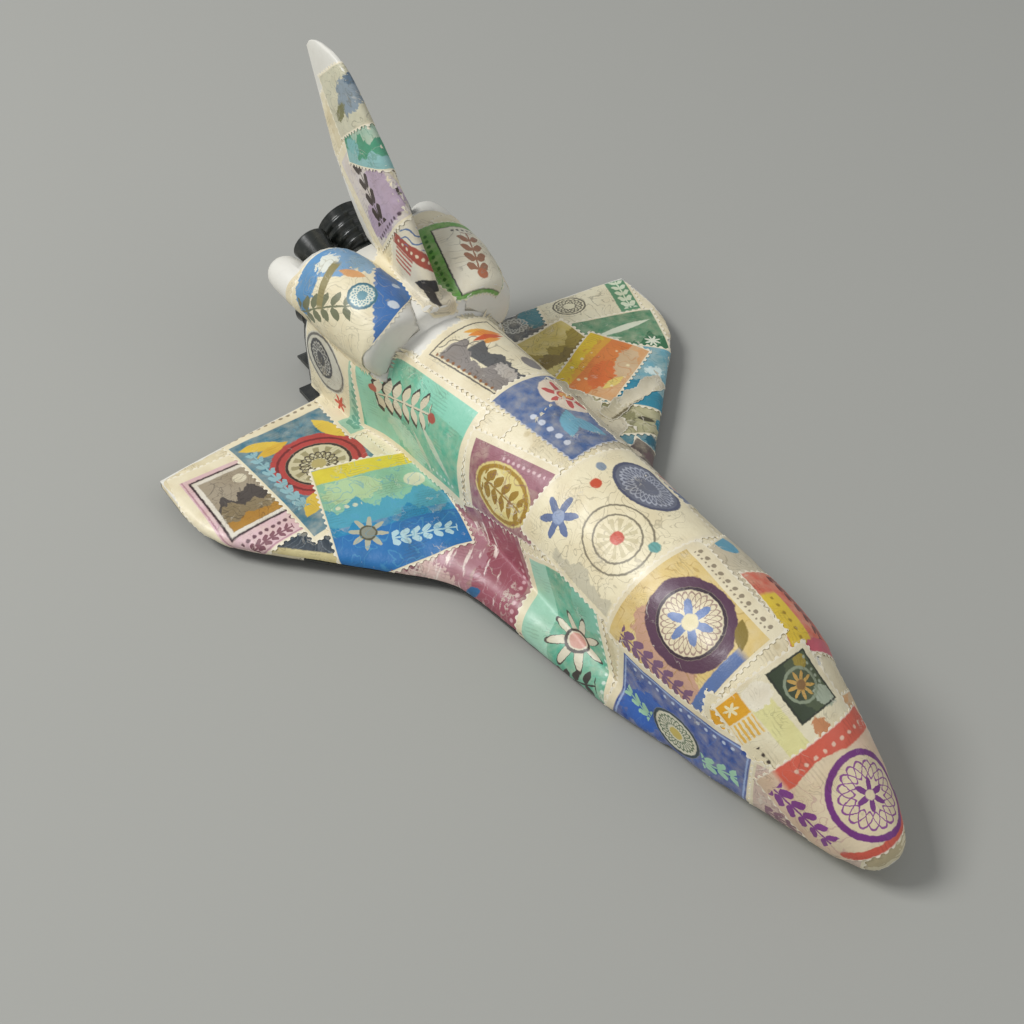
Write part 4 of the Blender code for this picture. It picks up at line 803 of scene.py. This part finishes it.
# Each sheet, in the order that it was pasted: the area, the design, station, lateral and height of its
# middle in mm, degrees from straight aft to the design's own x, and options. "low" takes it over the
# side of the black moulding, "trim" ends it at a station, "curl" lifts one side by mm over a reach.
sheets = [
    # a plain under-layer, both sides
    ("nose", "plain", 14, 0, 2, 0, {"low": True}),
    ("nose", "plain", 21, -11, 12, 0, {"low": True}), ("nose", "plain", 21, 11, 12, 0, {"low": True}),
    ("nose", "plain", 49.5, -16, 14, 0, {"low": True}), ("nose", "plain", 49.5, 16, 14, 0, {"low": True}),
    ("hull", "plain", 78, -16.4, 14, 0), ("hull", "plain", 78, 16.4, 14, 0),
    ("hull", "plain", 106.5, -16.4, 14, 0), ("hull", "plain", 106.5, 16.4, 14, 0),
    ("hull", "plain", 135, -16.4, 14, 0), ("hull", "plain", 135, 16.4, 14, 0),
    ("hull", "plain", 163.5, -16.5, 14, 0), ("hull", "plain", 163.5, 16.5, 14, 0),
    ("nose", "plain", 46, 0, 33, 0), ("hull", "plain", 74, 0, 34, 0),
    ("hull", "plain", 102, 0, 34, 0), ("hull", "plain", 130, 0, 34, 0),
    ("nose", "noseEnd", 3, 0, 10, 90, {"low": True}),
    ("wings", "plain", 150, -57.5, 4, 90, {"low": True}), ("wings", "plain", 150, 52, 5, 90),
    ("wings", "plain", 160, -32, 5, 90), ("wings", "plain", 160, 32, 5, 90),
    ("wings", "plain", 163, -57.5, 4, 90, {"low": True}), ("wings", "plain", 163, 53, 4, 90),
    ("wings", "plain", 126, -34, 6, 70), ("wings", "plain", 126, 34, 6, 110),
    ("wings", "plain", 100, -21, 7, 20), ("wings", "plain", 100, 21, 7, -20),
    ("wings", "plain", 68, -18, 6, 10, {"low": True}), ("wings", "plain", 68, 18, 6, -10, {"low": True}),
    ("pods", "plain", 170, -19, 35, 0, {"trim": 184}), ("pods", "plain", 170, 19, 35, 0, {"trim": 184}),
    ("fin", "plain", 172, -1.6, 50, 50), ("fin", "plain", 172, 1.6, 50, 50),
    ("fin", "plain", 184, 1.4, 62, 50), ("fin", "plain", 184, -1.4, 62, 50),
    # the port side
    ("hull", "slateFan", 92, 15, 24, 12), ("hull", "tealBloom", 86, 17, 8, 80),
    ("hull", "roseMedal", 120, 14, 26, -10), ("nose", "royalOval", 32, 13, 10, 4, {"low": True}),
    ("hull", "creamChart", 140, 15, 22, 95), ("nose", "sunset", 22, 9, 14, 30),
    ("hull", "greyDial", 168, 19.9, 13, 10), ("hull", "seaSky", 110, 17, 9, 30),
    ("wings", "oliveSprig", 112, 29, 6.5, -50), ("wings", "pinkWash", 76, 20, 7, -20, {"low": True}),
    ("wings", "inkDark", 171.0, 36.1, 3.9, -108), ("wings", "tealScrap", 120.5, 33.5, 5.7, -125),
    ("wings", "khakiMap", 127.5, 37.5, 5.8, -110), ("wings", "brownScrap", 113.2, 31.2, 5.0, -150),
    ("wings", "lineSketch", 167.3, 53.7, 4.7, -108), ("wings", "greenField", 151.1, 50.8, 5.7, -109),
    ("wings", "oliveHill", 156.0, 35.0, 5.3, -87), ("wings", "seaSky", 136.5, 46.2, 5.9, -127),
    ("wings", "sunset", 144.1, 40.3, 6.1, -152), ("wings", "tornGrey", 133.0, 27.6, 6.6, -170),
    ("wings", "foldedEdge", 130.2, 39.6, 6.2, -168, {"curl": ("left", 2.0, 3.4)}),
    ("pods", "orangeTiles", 172, 19, 33, 20, {"trim": 184}),
    ("pods", "greenBorder", 163.6, 12.6, 41.4, -102, {"trim": 184}),
    ("fin", "lilacSprig", 176, 1.5, 52, 30), ("fin", "greenField", 188, 1.2, 66, 60),
    # the starboard side, from the rear forward
    ("wings", "darkWater", 134.2, -48.1, 5.6, -134), ("wings", "pinkView", 153.9, -57.0, 5.6, -90, {"low": True}),
    ("wings", "crimsonWheel", 155.7, -35.0, 5.4, -87), ("hull", "roseWorn", 108.5, -25.2, 5.8, -150),
    ("wings", "blueSea", 132.5, -29.0, 6.5, -107),
    ("hull", "greyDial", 172.5, -19.9, 13.1, 176), ("hull", "tealLeaves", 142.2, -16.2, 19.4, -172.5),
    ("hull", "emberHills", 136.2, 3.1, 33.4, -170),
    ("hull", "greyCream", 104, 13, 30, -160, {"curl": ("left", 0.8, 1.6)}),
    ("hull", "roseMedal", 108.2, -14.5, 24.9, -164),
    ("hull", "tealBloom", 77.9, -17.6, 7.3, -156, {"low": True}), ("hull", "creamChart", 82.0, -5.7, 33.2, 178),
    ("hull", "slateFan", 113.3, 7.4, 32.6, -174), ("hull", "tornGrey", 112.5, 12.2, 28.4, -176),
    ("nose", "greyCream", 52, 11, 30, -160), ("nose", "warmStrip", 43.5, 10.5, 29.4, 176),
    ("nose", "ochreFlower", 52.3, -10.7, 30.4, 176),
    ("nose", "orangeTiles", 28.0, -12.8, 16.2, -168, {"low": True}),
    ("nose", "royalOval", 44.4, -15.3, 9.2, -178, {"low": True}), ("nose", "oliveSprig", 27.0, -5.2, 26.8, 174),
    ("nose", "pinkWash", 14.2, -9.5, 10.4, -176, {"low": True}),
    ("nose", "purpleRosette", 10.5, -2.9, 17.8, 176, {"low": True}),
    ("pods", "skyClouds", 168.2, -17.8, 39.6, -168, {"trim": 184}),
    ("fin", "brickBand", 160.3, -1.0, 45.5, 174), ("fin", "lilacSprig", 180.6, -1.5, 55.6, -125),
    ("fin", "seaGreen", 183.2, -1.2, 67.9, -158), ("fin", "slateOlive", 189.9, -1.1, 74.0, -140),
]


def paperBody():
    # the pasted pieces grown into one skin, so that a sheet bridges the gaps between them
    whole = bmesh.new()
    for name in (*finishes["white moulded plastic"], "belly_moulding"):
        whole.from_mesh(nodes[name].data)
    bmesh.ops.remove_doubles(whole, verts=whole.verts, dist=1e-6)
    data = bpy.data.meshes.new("paper_body")
    whole.to_mesh(data)
    whole.free()
    body = addObject("paper_body", data)
    voxels = body.modifiers.new("voxels", "REMESH")
    voxels.mode, voxels.voxel_size = "VOXEL", paper["voxel"] * mm
    soften = body.modifiers.new("soften", "SMOOTH")
    soften.factor, soften.iterations = 0.5, 6
    skin = takeMesh(body)
    tree = BVHTree.FromPolygons([v.co for v in skin.vertices], [p.vertices[:] for p in skin.polygons])
    bpy.data.meshes.remove(skin)
    bpy.data.meshes.remove(data)
    return tree


def perforationTree():
    # bites a row of half holes out of each side of every flat outline
    tree, given = startTree("perforated edge", ("Seed",), ("Pitch", "Hole radius", "Wander"))
    pitch, hole = given["Pitch"], given["Hole radius"]
    curve = addNode(tree, "GeometryNodeMeshToCurve", given[0])
    apart = addNode(tree, "Math DIVIDE", pitch, 8.0)
    fine = addNode(tree, "GeometryNodeResampleCurve", Curve=curve, Length=apart, mode="LENGTH")
    where = addNode(tree, "GeometryNodeInputPosition")
    middle, half, torn = (
        addNode(tree, "GeometryNodeInputNamedAttribute", Name=label, data_type=kind)
        for label, kind in (("middle", "FLOAT_VECTOR"), ("half", "FLOAT_VECTOR"), ("torn", "FLOAT"))
    )
    local = addNode(tree, "VectorMath SUBTRACT", where, middle)
    x, y, _ = addNode(tree, "SeparateXYZ", local, out=None)
    reach = addNode(tree, "Math SUBTRACT", addNode(tree, "SeparateXYZ", half), 0.01)
    onSide = addNode(tree, "Math GREATER_THAN", addNode(tree, "Math ABSOLUTE", x), reach)
    offSide = addNode(tree, "Math SUBTRACT", 1.0, onSide)
    along = addNode(tree, "Math MULTIPLY", x, offSide)
    along = addNode(tree, "Math ADD", addNode(tree, "Math MULTIPLY", y, onSide), along)
    forward, backward = (addNode(tree, "Math MULTIPLY", pitch, share) for share in (0.5, -0.5))
    near = addNode(tree, "Math WRAP", along, forward, backward)
    depth = addNode(tree, "Math MULTIPLY", near, near)
    depth = addNode(tree, "Math SUBTRACT", addNode(tree, "Math MULTIPLY", hole, hole), depth)
    depth = addNode(tree, "Math SQRT", addNode(tree, "Math MAXIMUM", depth, 0.0))
    depth = addNode(tree, "Math MULTIPLY", depth, addNode(tree, "Math LESS_THAN", torn, 0.1))
    seedShift = addNode(tree, "CombineXYZ", {2: addNode(tree, "Math MULTIPLY", given["Seed"], 3.7)})
    shifted = addNode(tree, "VectorMath ADD", where, seedShift)
    uneven = addNode(tree, "TexNoise", Vector=shifted, Scale=0.8, Detail=3.0)
    uneven = addNode(tree, "Math MULTIPLY", uneven, given["Wander"])
    ragged = addNode(tree, "TexNoise", Vector=shifted, Scale=0.3, Detail=4.0)
    ragged = addNode(tree, "Math MAXIMUM", addNode(tree, "Math SUBTRACT", ragged, 0.3), 0.0)
    ragged = addNode(tree, "Math MULTIPLY", ragged, addNode(tree, "Math MULTIPLY", torn, 7.0))
    inward = addNode(tree, "Math ADD", addNode(tree, "Math ADD", depth, uneven), ragged)
    inward = addNode(tree, "Math MULTIPLY", inward, -1.0)
    moves = []
    for side, here in ((x, onSide), (y, offSide)):
        toward = addNode(tree, "Math MULTIPLY", addNode(tree, "Math SIGN", side), here)
        moves.append(addNode(tree, "Math MULTIPLY", toward, inward))
    move = addNode(tree, "CombineXYZ", *moves)
    bitten = addNode(tree, "GeometryNodeSetPosition", {0: fine, "Offset": move})
    endTree(tree, addNode(tree, "GeometryNodeCurveToMesh", bitten), given["Material"])
    return tree


def perforatedOutlines(names, material):
    # every sheet's outline, laid flat in one row and bitten by the tree; returns loops of (x, y)
    spacing = 60.0  # mm between the middles of two outlines
    corners, edges, middles, halves, tears = [], [], [], [], []
    for index, name in enumerate(names):
        wide, high = designs[name]["size"]
        middle = Vector((index * spacing, 0, 0))
        first = len(corners)
        for sx, sy in ((-1, -1), (1, -1), (1, 1), (-1, 1)):
            corners.append(middle + Vector((sx * wide / 2, sy * high / 2, 0)))
            middles.append(middle)
            halves.append(Vector((wide / 2, high / 2, 0)))
            tears.append(designs[name].get("torn", 0.0))
        edges += [(first + k, first + (k + 1) % 4) for k in range(4)]
    data = bpy.data.meshes.new("outlines")
    data.from_pydata(corners, edges, [])
    for label, values in (("middle", middles), ("half", halves)):
        stored = data.attributes.new(label, "FLOAT_VECTOR", "POINT")
        stored.data.foreach_set("vector", [c for v in values for c in v])
    data.attributes.new("torn", "FLOAT", "POINT").data.foreach_set("value", tears)
    wire = growMesh(addObject("outlines", data), perforationTree(), {
        "Pitch": paper["pitch"], "Hole radius": paper["bite"], "Wander": paper["wander"],
        "Seed": paper["seed"], "Material": material,
    })
    loops = [[] for _ in names]
    for vertex in wire.vertices:
        index = round(vertex.co.x / spacing)
        loops[index].append((vertex.co.x - index * spacing, vertex.co.y))
    bpy.data.meshes.remove(wire)
    return loops


def walk(skin, start, normal, ahead, step, count):
    # points along the surface from start, keeping a straight course over bends
    sharpest = 1.2  # radians that one step may turn
    creep = 0.3  # of a step, taken where the nearest point hardly moves on
    found = []
    spot, up, way = start.copy(), normal.copy(), ahead.copy()
    for _ in range(count):
        hit, face, _, _ = skin.find_nearest(spot + way * step)
        turn = up.rotation_difference(face)
        if turn.angle > sharpest:
            turn = Quaternion(turn.axis, sharpest)
        way = turn @ way
        way = (way - face * way.dot(face)).normalized()
        moved = hit - spot
        spot, up = hit, face
        if moved.length < creep * step:
            spot = spot + way * step * creep
        found.append((spot.copy(), up.copy(), way.copy()))
    return found


def lattice(skin, row, wide, high, step):
    # the sheet's own coordinates laid over the surface, one point every step
    station, lateral, height, degrees = row[2:6]
    start, normal, _, _ = skin.find_nearest(place(station, lateral, height))
    aft = Vector((0, 1, 0))
    aft = (aft - normal * aft.dot(normal)).normalized()
    ahead = Quaternion(normal, math.radians(degrees)) @ aft
    countX, countY = math.ceil(wide / 2 / step) + 1, math.ceil(high / 2 / step) + 1
    spine = {0: (start, normal, ahead)}
    for sign in (1, -1):
        for k, (spot, up, way) in enumerate(walk(skin, start, normal, ahead * sign, step * mm, countX)):
            spine[sign * (k + 1)] = (spot, up, way * sign)
    points = {}
    for i, (spot, up, way) in spine.items():
        across = up.cross(way).normalized()
        points[i, 0] = (spot, up)
        for sign in (1, -1):
            for k, (p, n, _) in enumerate(walk(skin, spot, up, across * sign, step * mm, countY)):
                points[i, sign * (k + 1)] = (p, n)
    return points


def onLattice(points, x, y, step):
    # the place and the outward direction between the four nearest points
    i, j = math.floor(x / step), math.floor(y / step)
    s, t = x / step - i, y / step - j
    corners = [(points[i + a, j + b], (s if a else 1 - s) * (t if b else 1 - t)) for a in (0, 1) for b in (0, 1)]
    spot = sum((p * w for (p, n), w in corners), Vector())
    up = sum((n * w for (p, n), w in corners), Vector())
    return spot, up


def partingPlanes(area, low):
    # a point and the upward direction of each plane that the paper ends at
    line = paper["parting"]
    if low and area != "wings":
        yield place(midStation, 0, line["low"]), Vector((0, 0, 1))
        return
    height = line["low on wings"] if low else line["mouldings"]
    for side in (0, 1, -1):
        yield place(midStation, side * line["strake"], height), Vector((-side * line["rise"], 0, 1)).normalized()


def sheetMesh(skin, row, loop, below, index):
    # one sheet: cut flat, laid on the body and on the sheets under it, and given its thickness
    wide, high = designs[row[1]]["size"]
    options = row[6] if len(row) > 6 else {}
    step = paper["stride"]
    points = lattice(skin, row, wide, high, step)
    gap = paper["grid"]
    rimPoints = kdtree.KDTree(len(loop))
    for k, (x, y) in enumerate(loop):
        rimPoints.insert((x, y, 0), k)
    rimPoints.balance()
    inner = []
    for a in range(int(wide / gap)):
        for b in range(int(high / gap)):
            x, y = (a + 0.5) * gap - wide / 2, (b + 0.5) * gap - high / 2
            fromSide = min(wide / 2 - abs(x), high / 2 - abs(y))
            if fromSide > 0.6 and rimPoints.find((x, y, 0))[2] > 0.35:  # clear of the bites
                inner.append((x, y))
    flat = [Vector(p) for p in loop + inner]
    border = list(range(len(loop)))
    spots, _, faces, _, _, _ = delaunay_2d_cdt(flat, [], [border], 1, 1e-5)
    made = bmesh.new()
    layers = made.verts.layers.float_vector
    for label in ("sheet", "lean"):
        layers.new(label)
    mark, lean = layers["sheet"], layers["lean"]  # read once both are made, because a new one moves the first
    ups, verts = [], []
    for p in spots:
        guess, about = onLattice(points, p.x, p.y, step)
        hit, face, _, _ = skin.find_nearest(guess)
        up = (face + about.normalized() * 2).normalized()  # mostly the lattice's smoother direction
        vert = made.verts.new(hit)
        toEdge = rimPoints.find((p.x, p.y, 0))[2]
        vert[mark] = (p.x, p.y, toEdge)
        verts.append(vert)
        ups.append(up)
    for face in faces:
        try:
            made.faces.new([verts[k] for k in face])
        except ValueError:  # two corners met on the body, or the face is there already
            pass
    made.verts.index_update()

    # each point rises to the top of what lies under it, and its neighbours follow
    stack = paper["stack"] * mm
    reach = 60 * mm  # no sheet goes further than this from its own first point
    first = verts[0].co
    near = [
        tree for tree, low, top in below
        if all(low[k] - 2 * mm <= first[k] + reach and top[k] + reach >= first[k] for k in range(3))
    ]
    lift = [0.0] * len(verts)
    for k, (vert, up) in enumerate(zip(verts, ups)):
        for tree in near:
            hit, _, _, far = tree.ray_cast(vert.co + up * stack, -up, stack)
            if hit is not None:
                lift[k] = max(lift[k], stack - far)
    base = list(lift)
    for _ in range(4):
        mean = [0.0] * len(verts)
        for vert in made.verts:
            around = [lift[e.other_vert(vert).index] for e in vert.link_edges]
            mean[vert.index] = sum(around) / len(around) if around else lift[vert.index]
        lift = [max(b, 0.5 * (a + m)) for a, m, b in zip(lift, mean, base)]
    curl = options.get("curl")
    for k, (vert, up) in enumerate(zip(verts, ups)):
        u, v, _ = vert[mark]
        wrinkle = paper["wrinkle"] * noise.noise(Vector((u * 0.3, v * 0.3, index * 7.1)))  # every 3 mm or so
        extra = 0.0
        if curl:
            side, amount, depth = curl
            past = {"right": u - wide / 2, "left": -u - wide / 2, "top": v - high / 2, "bottom": -v - high / 2}[side]
            extra = amount * max(0.0, 1 + past / depth) ** 2
        vert.co = vert.co + up * (lift[k] + (paper["glue"] + wrinkle + extra) * mm)

    # the printed side faces out
    made.faces.ensure_lookup_table()
    made.normal_update()
    if sum(f.normal.dot(ups[f.verts[0].index]) for f in made.faces[:50]) < 0:
        bmesh.ops.reverse_faces(made, faces=made.faces)
    for vert, up in zip(verts, ups):
        vert[lean] = up

    # trimmed at the parting line, at the pods' tails and round the pods
    cuts = list(partingPlanes(row[0], options.get("low")))
    if "trim" in options:
        cuts.append((place(options["trim"], 0, 0), Vector((0, -1, 0))))
    for point, away in cuts:
        everything = made.verts[:] + made.edges[:] + made.faces[:]
        bmesh.ops.bisect_plane(made, geom=everything, plane_co=point, plane_no=away, clear_inner=True)
    if row[0] == "hull":
        limit = place(paper["bare"][0], 0, paper["bare"][1])
        made.faces.ensure_lookup_table()
        middles = {face: face.calc_center_median() for face in made.faces}
        behind = [face for face, middle in middles.items() if middle.y > limit.y and middle.z > limit.z]
        bmesh.ops.delete(made, geom=behind, context="FACES")
    bmesh.ops.delete(made, geom=[v for v in made.verts if not v.link_faces], context="VERTS")

    # a top, a back and a rim of the paper's thickness
    made.verts.ensure_lookup_table()
    made.verts.index_update()
    top = [v.co.copy() for v in made.verts]
    marks = [tuple(v[mark]) for v in made.verts]
    ups = [v[lean].normalized() if v[lean].length else Vector((0, 0, 1)) for v in made.verts]
    polys = [[v.index for v in f.verts] for f in made.faces]
    rim = []
    for edge in made.edges:
        if len(edge.link_faces) == 1:
            a, b = (v.index for v in edge.verts)
            order = [v.index for v in edge.link_faces[0].verts]
            rim.append((a, b) if order[(order.index(a) + 1) % len(order)] == b else (b, a))
    made.free()
    thick = paper["thick"] * mm
    count = len(top)
    coords = [p + n * thick for p, n in zip(top, ups)] + top
    allFaces = polys + [[k + count for k in reversed(p)] for p in polys]
    allFaces += [[b, a, a + count, b + count] for a, b in rim]
    allMarks = marks + [(u, v, -1.0) for u, v, _ in marks]
    return coords, allFaces, allMarks


def layPaper():
    skin = paperBody()
    materials = {name: printMaterial(name, designs[name]) for name in sorted({row[1] for row in sheets})}
    loops = perforatedOutlines([row[1] for row in sheets], materials["plain"])
    print("outlines cut:", len(loops))
    below, parts = [], {row[0]: [] for row in sheets}
    for index, row in enumerate(sheets):
        coords, faces, marks = sheetMesh(skin, row, loops[index], below, index)
        if not faces:
            print("nothing left of", row[:6])
            continue
        tree = BVHTree.FromPolygons(coords, faces)
        low = [min(c[k] for c in coords) for k in range(3)]
        high = [max(c[k] for c in coords) for k in range(3)]
        below.append((tree, low, high))
        parts[row[0]].append((row[1], coords, faces, marks, index))
    for area, laid in parts.items():
        verts, faces, marks, seeds, slots = [], [], [], [], []
        names = sorted({name for name, *_ in laid})
        for name, coords, polys, own, index in laid:
            first = len(verts)
            verts += coords
            faces += [[k + first for k in p] for p in polys]
            marks += own
            seeds += [(index * 0.37) % 1.0] * len(coords)  # its own place in the print's noise
            slots += [names.index(name)] * len(polys)
        data = bpy.data.meshes.new("paper_" + area)
        data.from_pydata(verts, [], faces)
        printed = data.attributes.new("sheet", "FLOAT_VECTOR", "POINT")
        printed.data.foreach_set("vector", [c for m in marks for c in m])
        data.attributes.new("seed", "FLOAT", "POINT").data.foreach_set("value", seeds)
        for name in names:
            data.materials.append(materials[name])
        data.polygons.foreach_set("material_index", slots)
        data.shade_smooth()
        data.set_sharp_from_angle(angle=math.radians(40))
        pasted = addObject("paper_" + area, data)
        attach(pasted, "airframe")
        print("paper on", area, "triangles", sum(len(p.vertices) - 2 for p in data.polygons))


layPaper()


studio = {
    "floor": "#a4a49e",
    "sky": "#e9ebee",
    "sky strength": 0.5,
    # watts, size and place in metres; each lamp points at the toy
    "lamps": {"key": (9.5, 0.4, (-0.62, 0.44, 0.9)), "fill": (1.6, 0.9, (0.5, -0.9, 0.8))},
}


def floorAndLight():
    data = bpy.data.meshes.new("floor")
    reach = 3  # metres each way
    corners = [(-reach, -reach, 0), (reach, -reach, 0), (reach, reach, 0), (-reach, reach, 0)]
    data.from_pydata(corners, [], [(0, 1, 2, 3)])
    material, _, shader = startMaterial("matt floor")  # a plain pale ground that takes a soft shadow
    shader.inputs["Base Color"].default_value = linear(studio["floor"])
    shader.inputs["Roughness"].default_value = 0.85
    data.materials.append(material)
    floor = addObject("floor", data)
    for name, (power, size, where) in studio["lamps"].items():
        lamp = bpy.data.lights.new(name, "AREA")
        lamp.energy, lamp.size = power, size
        made = addObject(name, lamp)
        made.location = where
        made.rotation_euler = (-Vector(where)).to_track_quat("-Z", "Y").to_euler()
    world = bpy.data.worlds.new("studio")
    world.use_nodes = True
    sky = world.node_tree.nodes["Background"].inputs
    sky["Color"].default_value = linear(studio["sky"])
    sky["Strength"].default_value = studio["sky strength"]
    bpy.context.scene.world = world
    bpy.context.scene.view_settings.view_transform = "Standard"  # prints keep their own colours


view = {
    # fitted to the photo: degrees, and mm from the origin
    "azimuth": -34.876,
    "elevation": 46.069,
    "roll": 0.175,
    "distance": 343.68,
    "target": (-10.169, 6.563, 13.546),
    "lens": 54.25,
    "sensor": 36.0,
}


def aimCamera():
    data = bpy.data.cameras.new("camera")
    data.lens, data.sensor_width, data.clip_start = view["lens"], view["sensor"], 0.01
    camera = addObject("camera", data)
    a, e = math.radians(view["azimuth"]), math.radians(view["elevation"])
    back = Vector((math.sin(a) * math.cos(e), -math.cos(a) * math.cos(e), math.sin(e)))
    camera.rotation_mode = "QUATERNION"
    turn = (-back).to_track_quat("-Z", "Y")
    camera.rotation_quaternion = Quaternion(back, math.radians(view["roll"])) @ turn
    camera.location = (Vector(view["target"]) + back * view["distance"]) * mm
    bpy.context.scene.camera = camera


floorAndLight()
aimCamera()
print("floor, light and camera done")
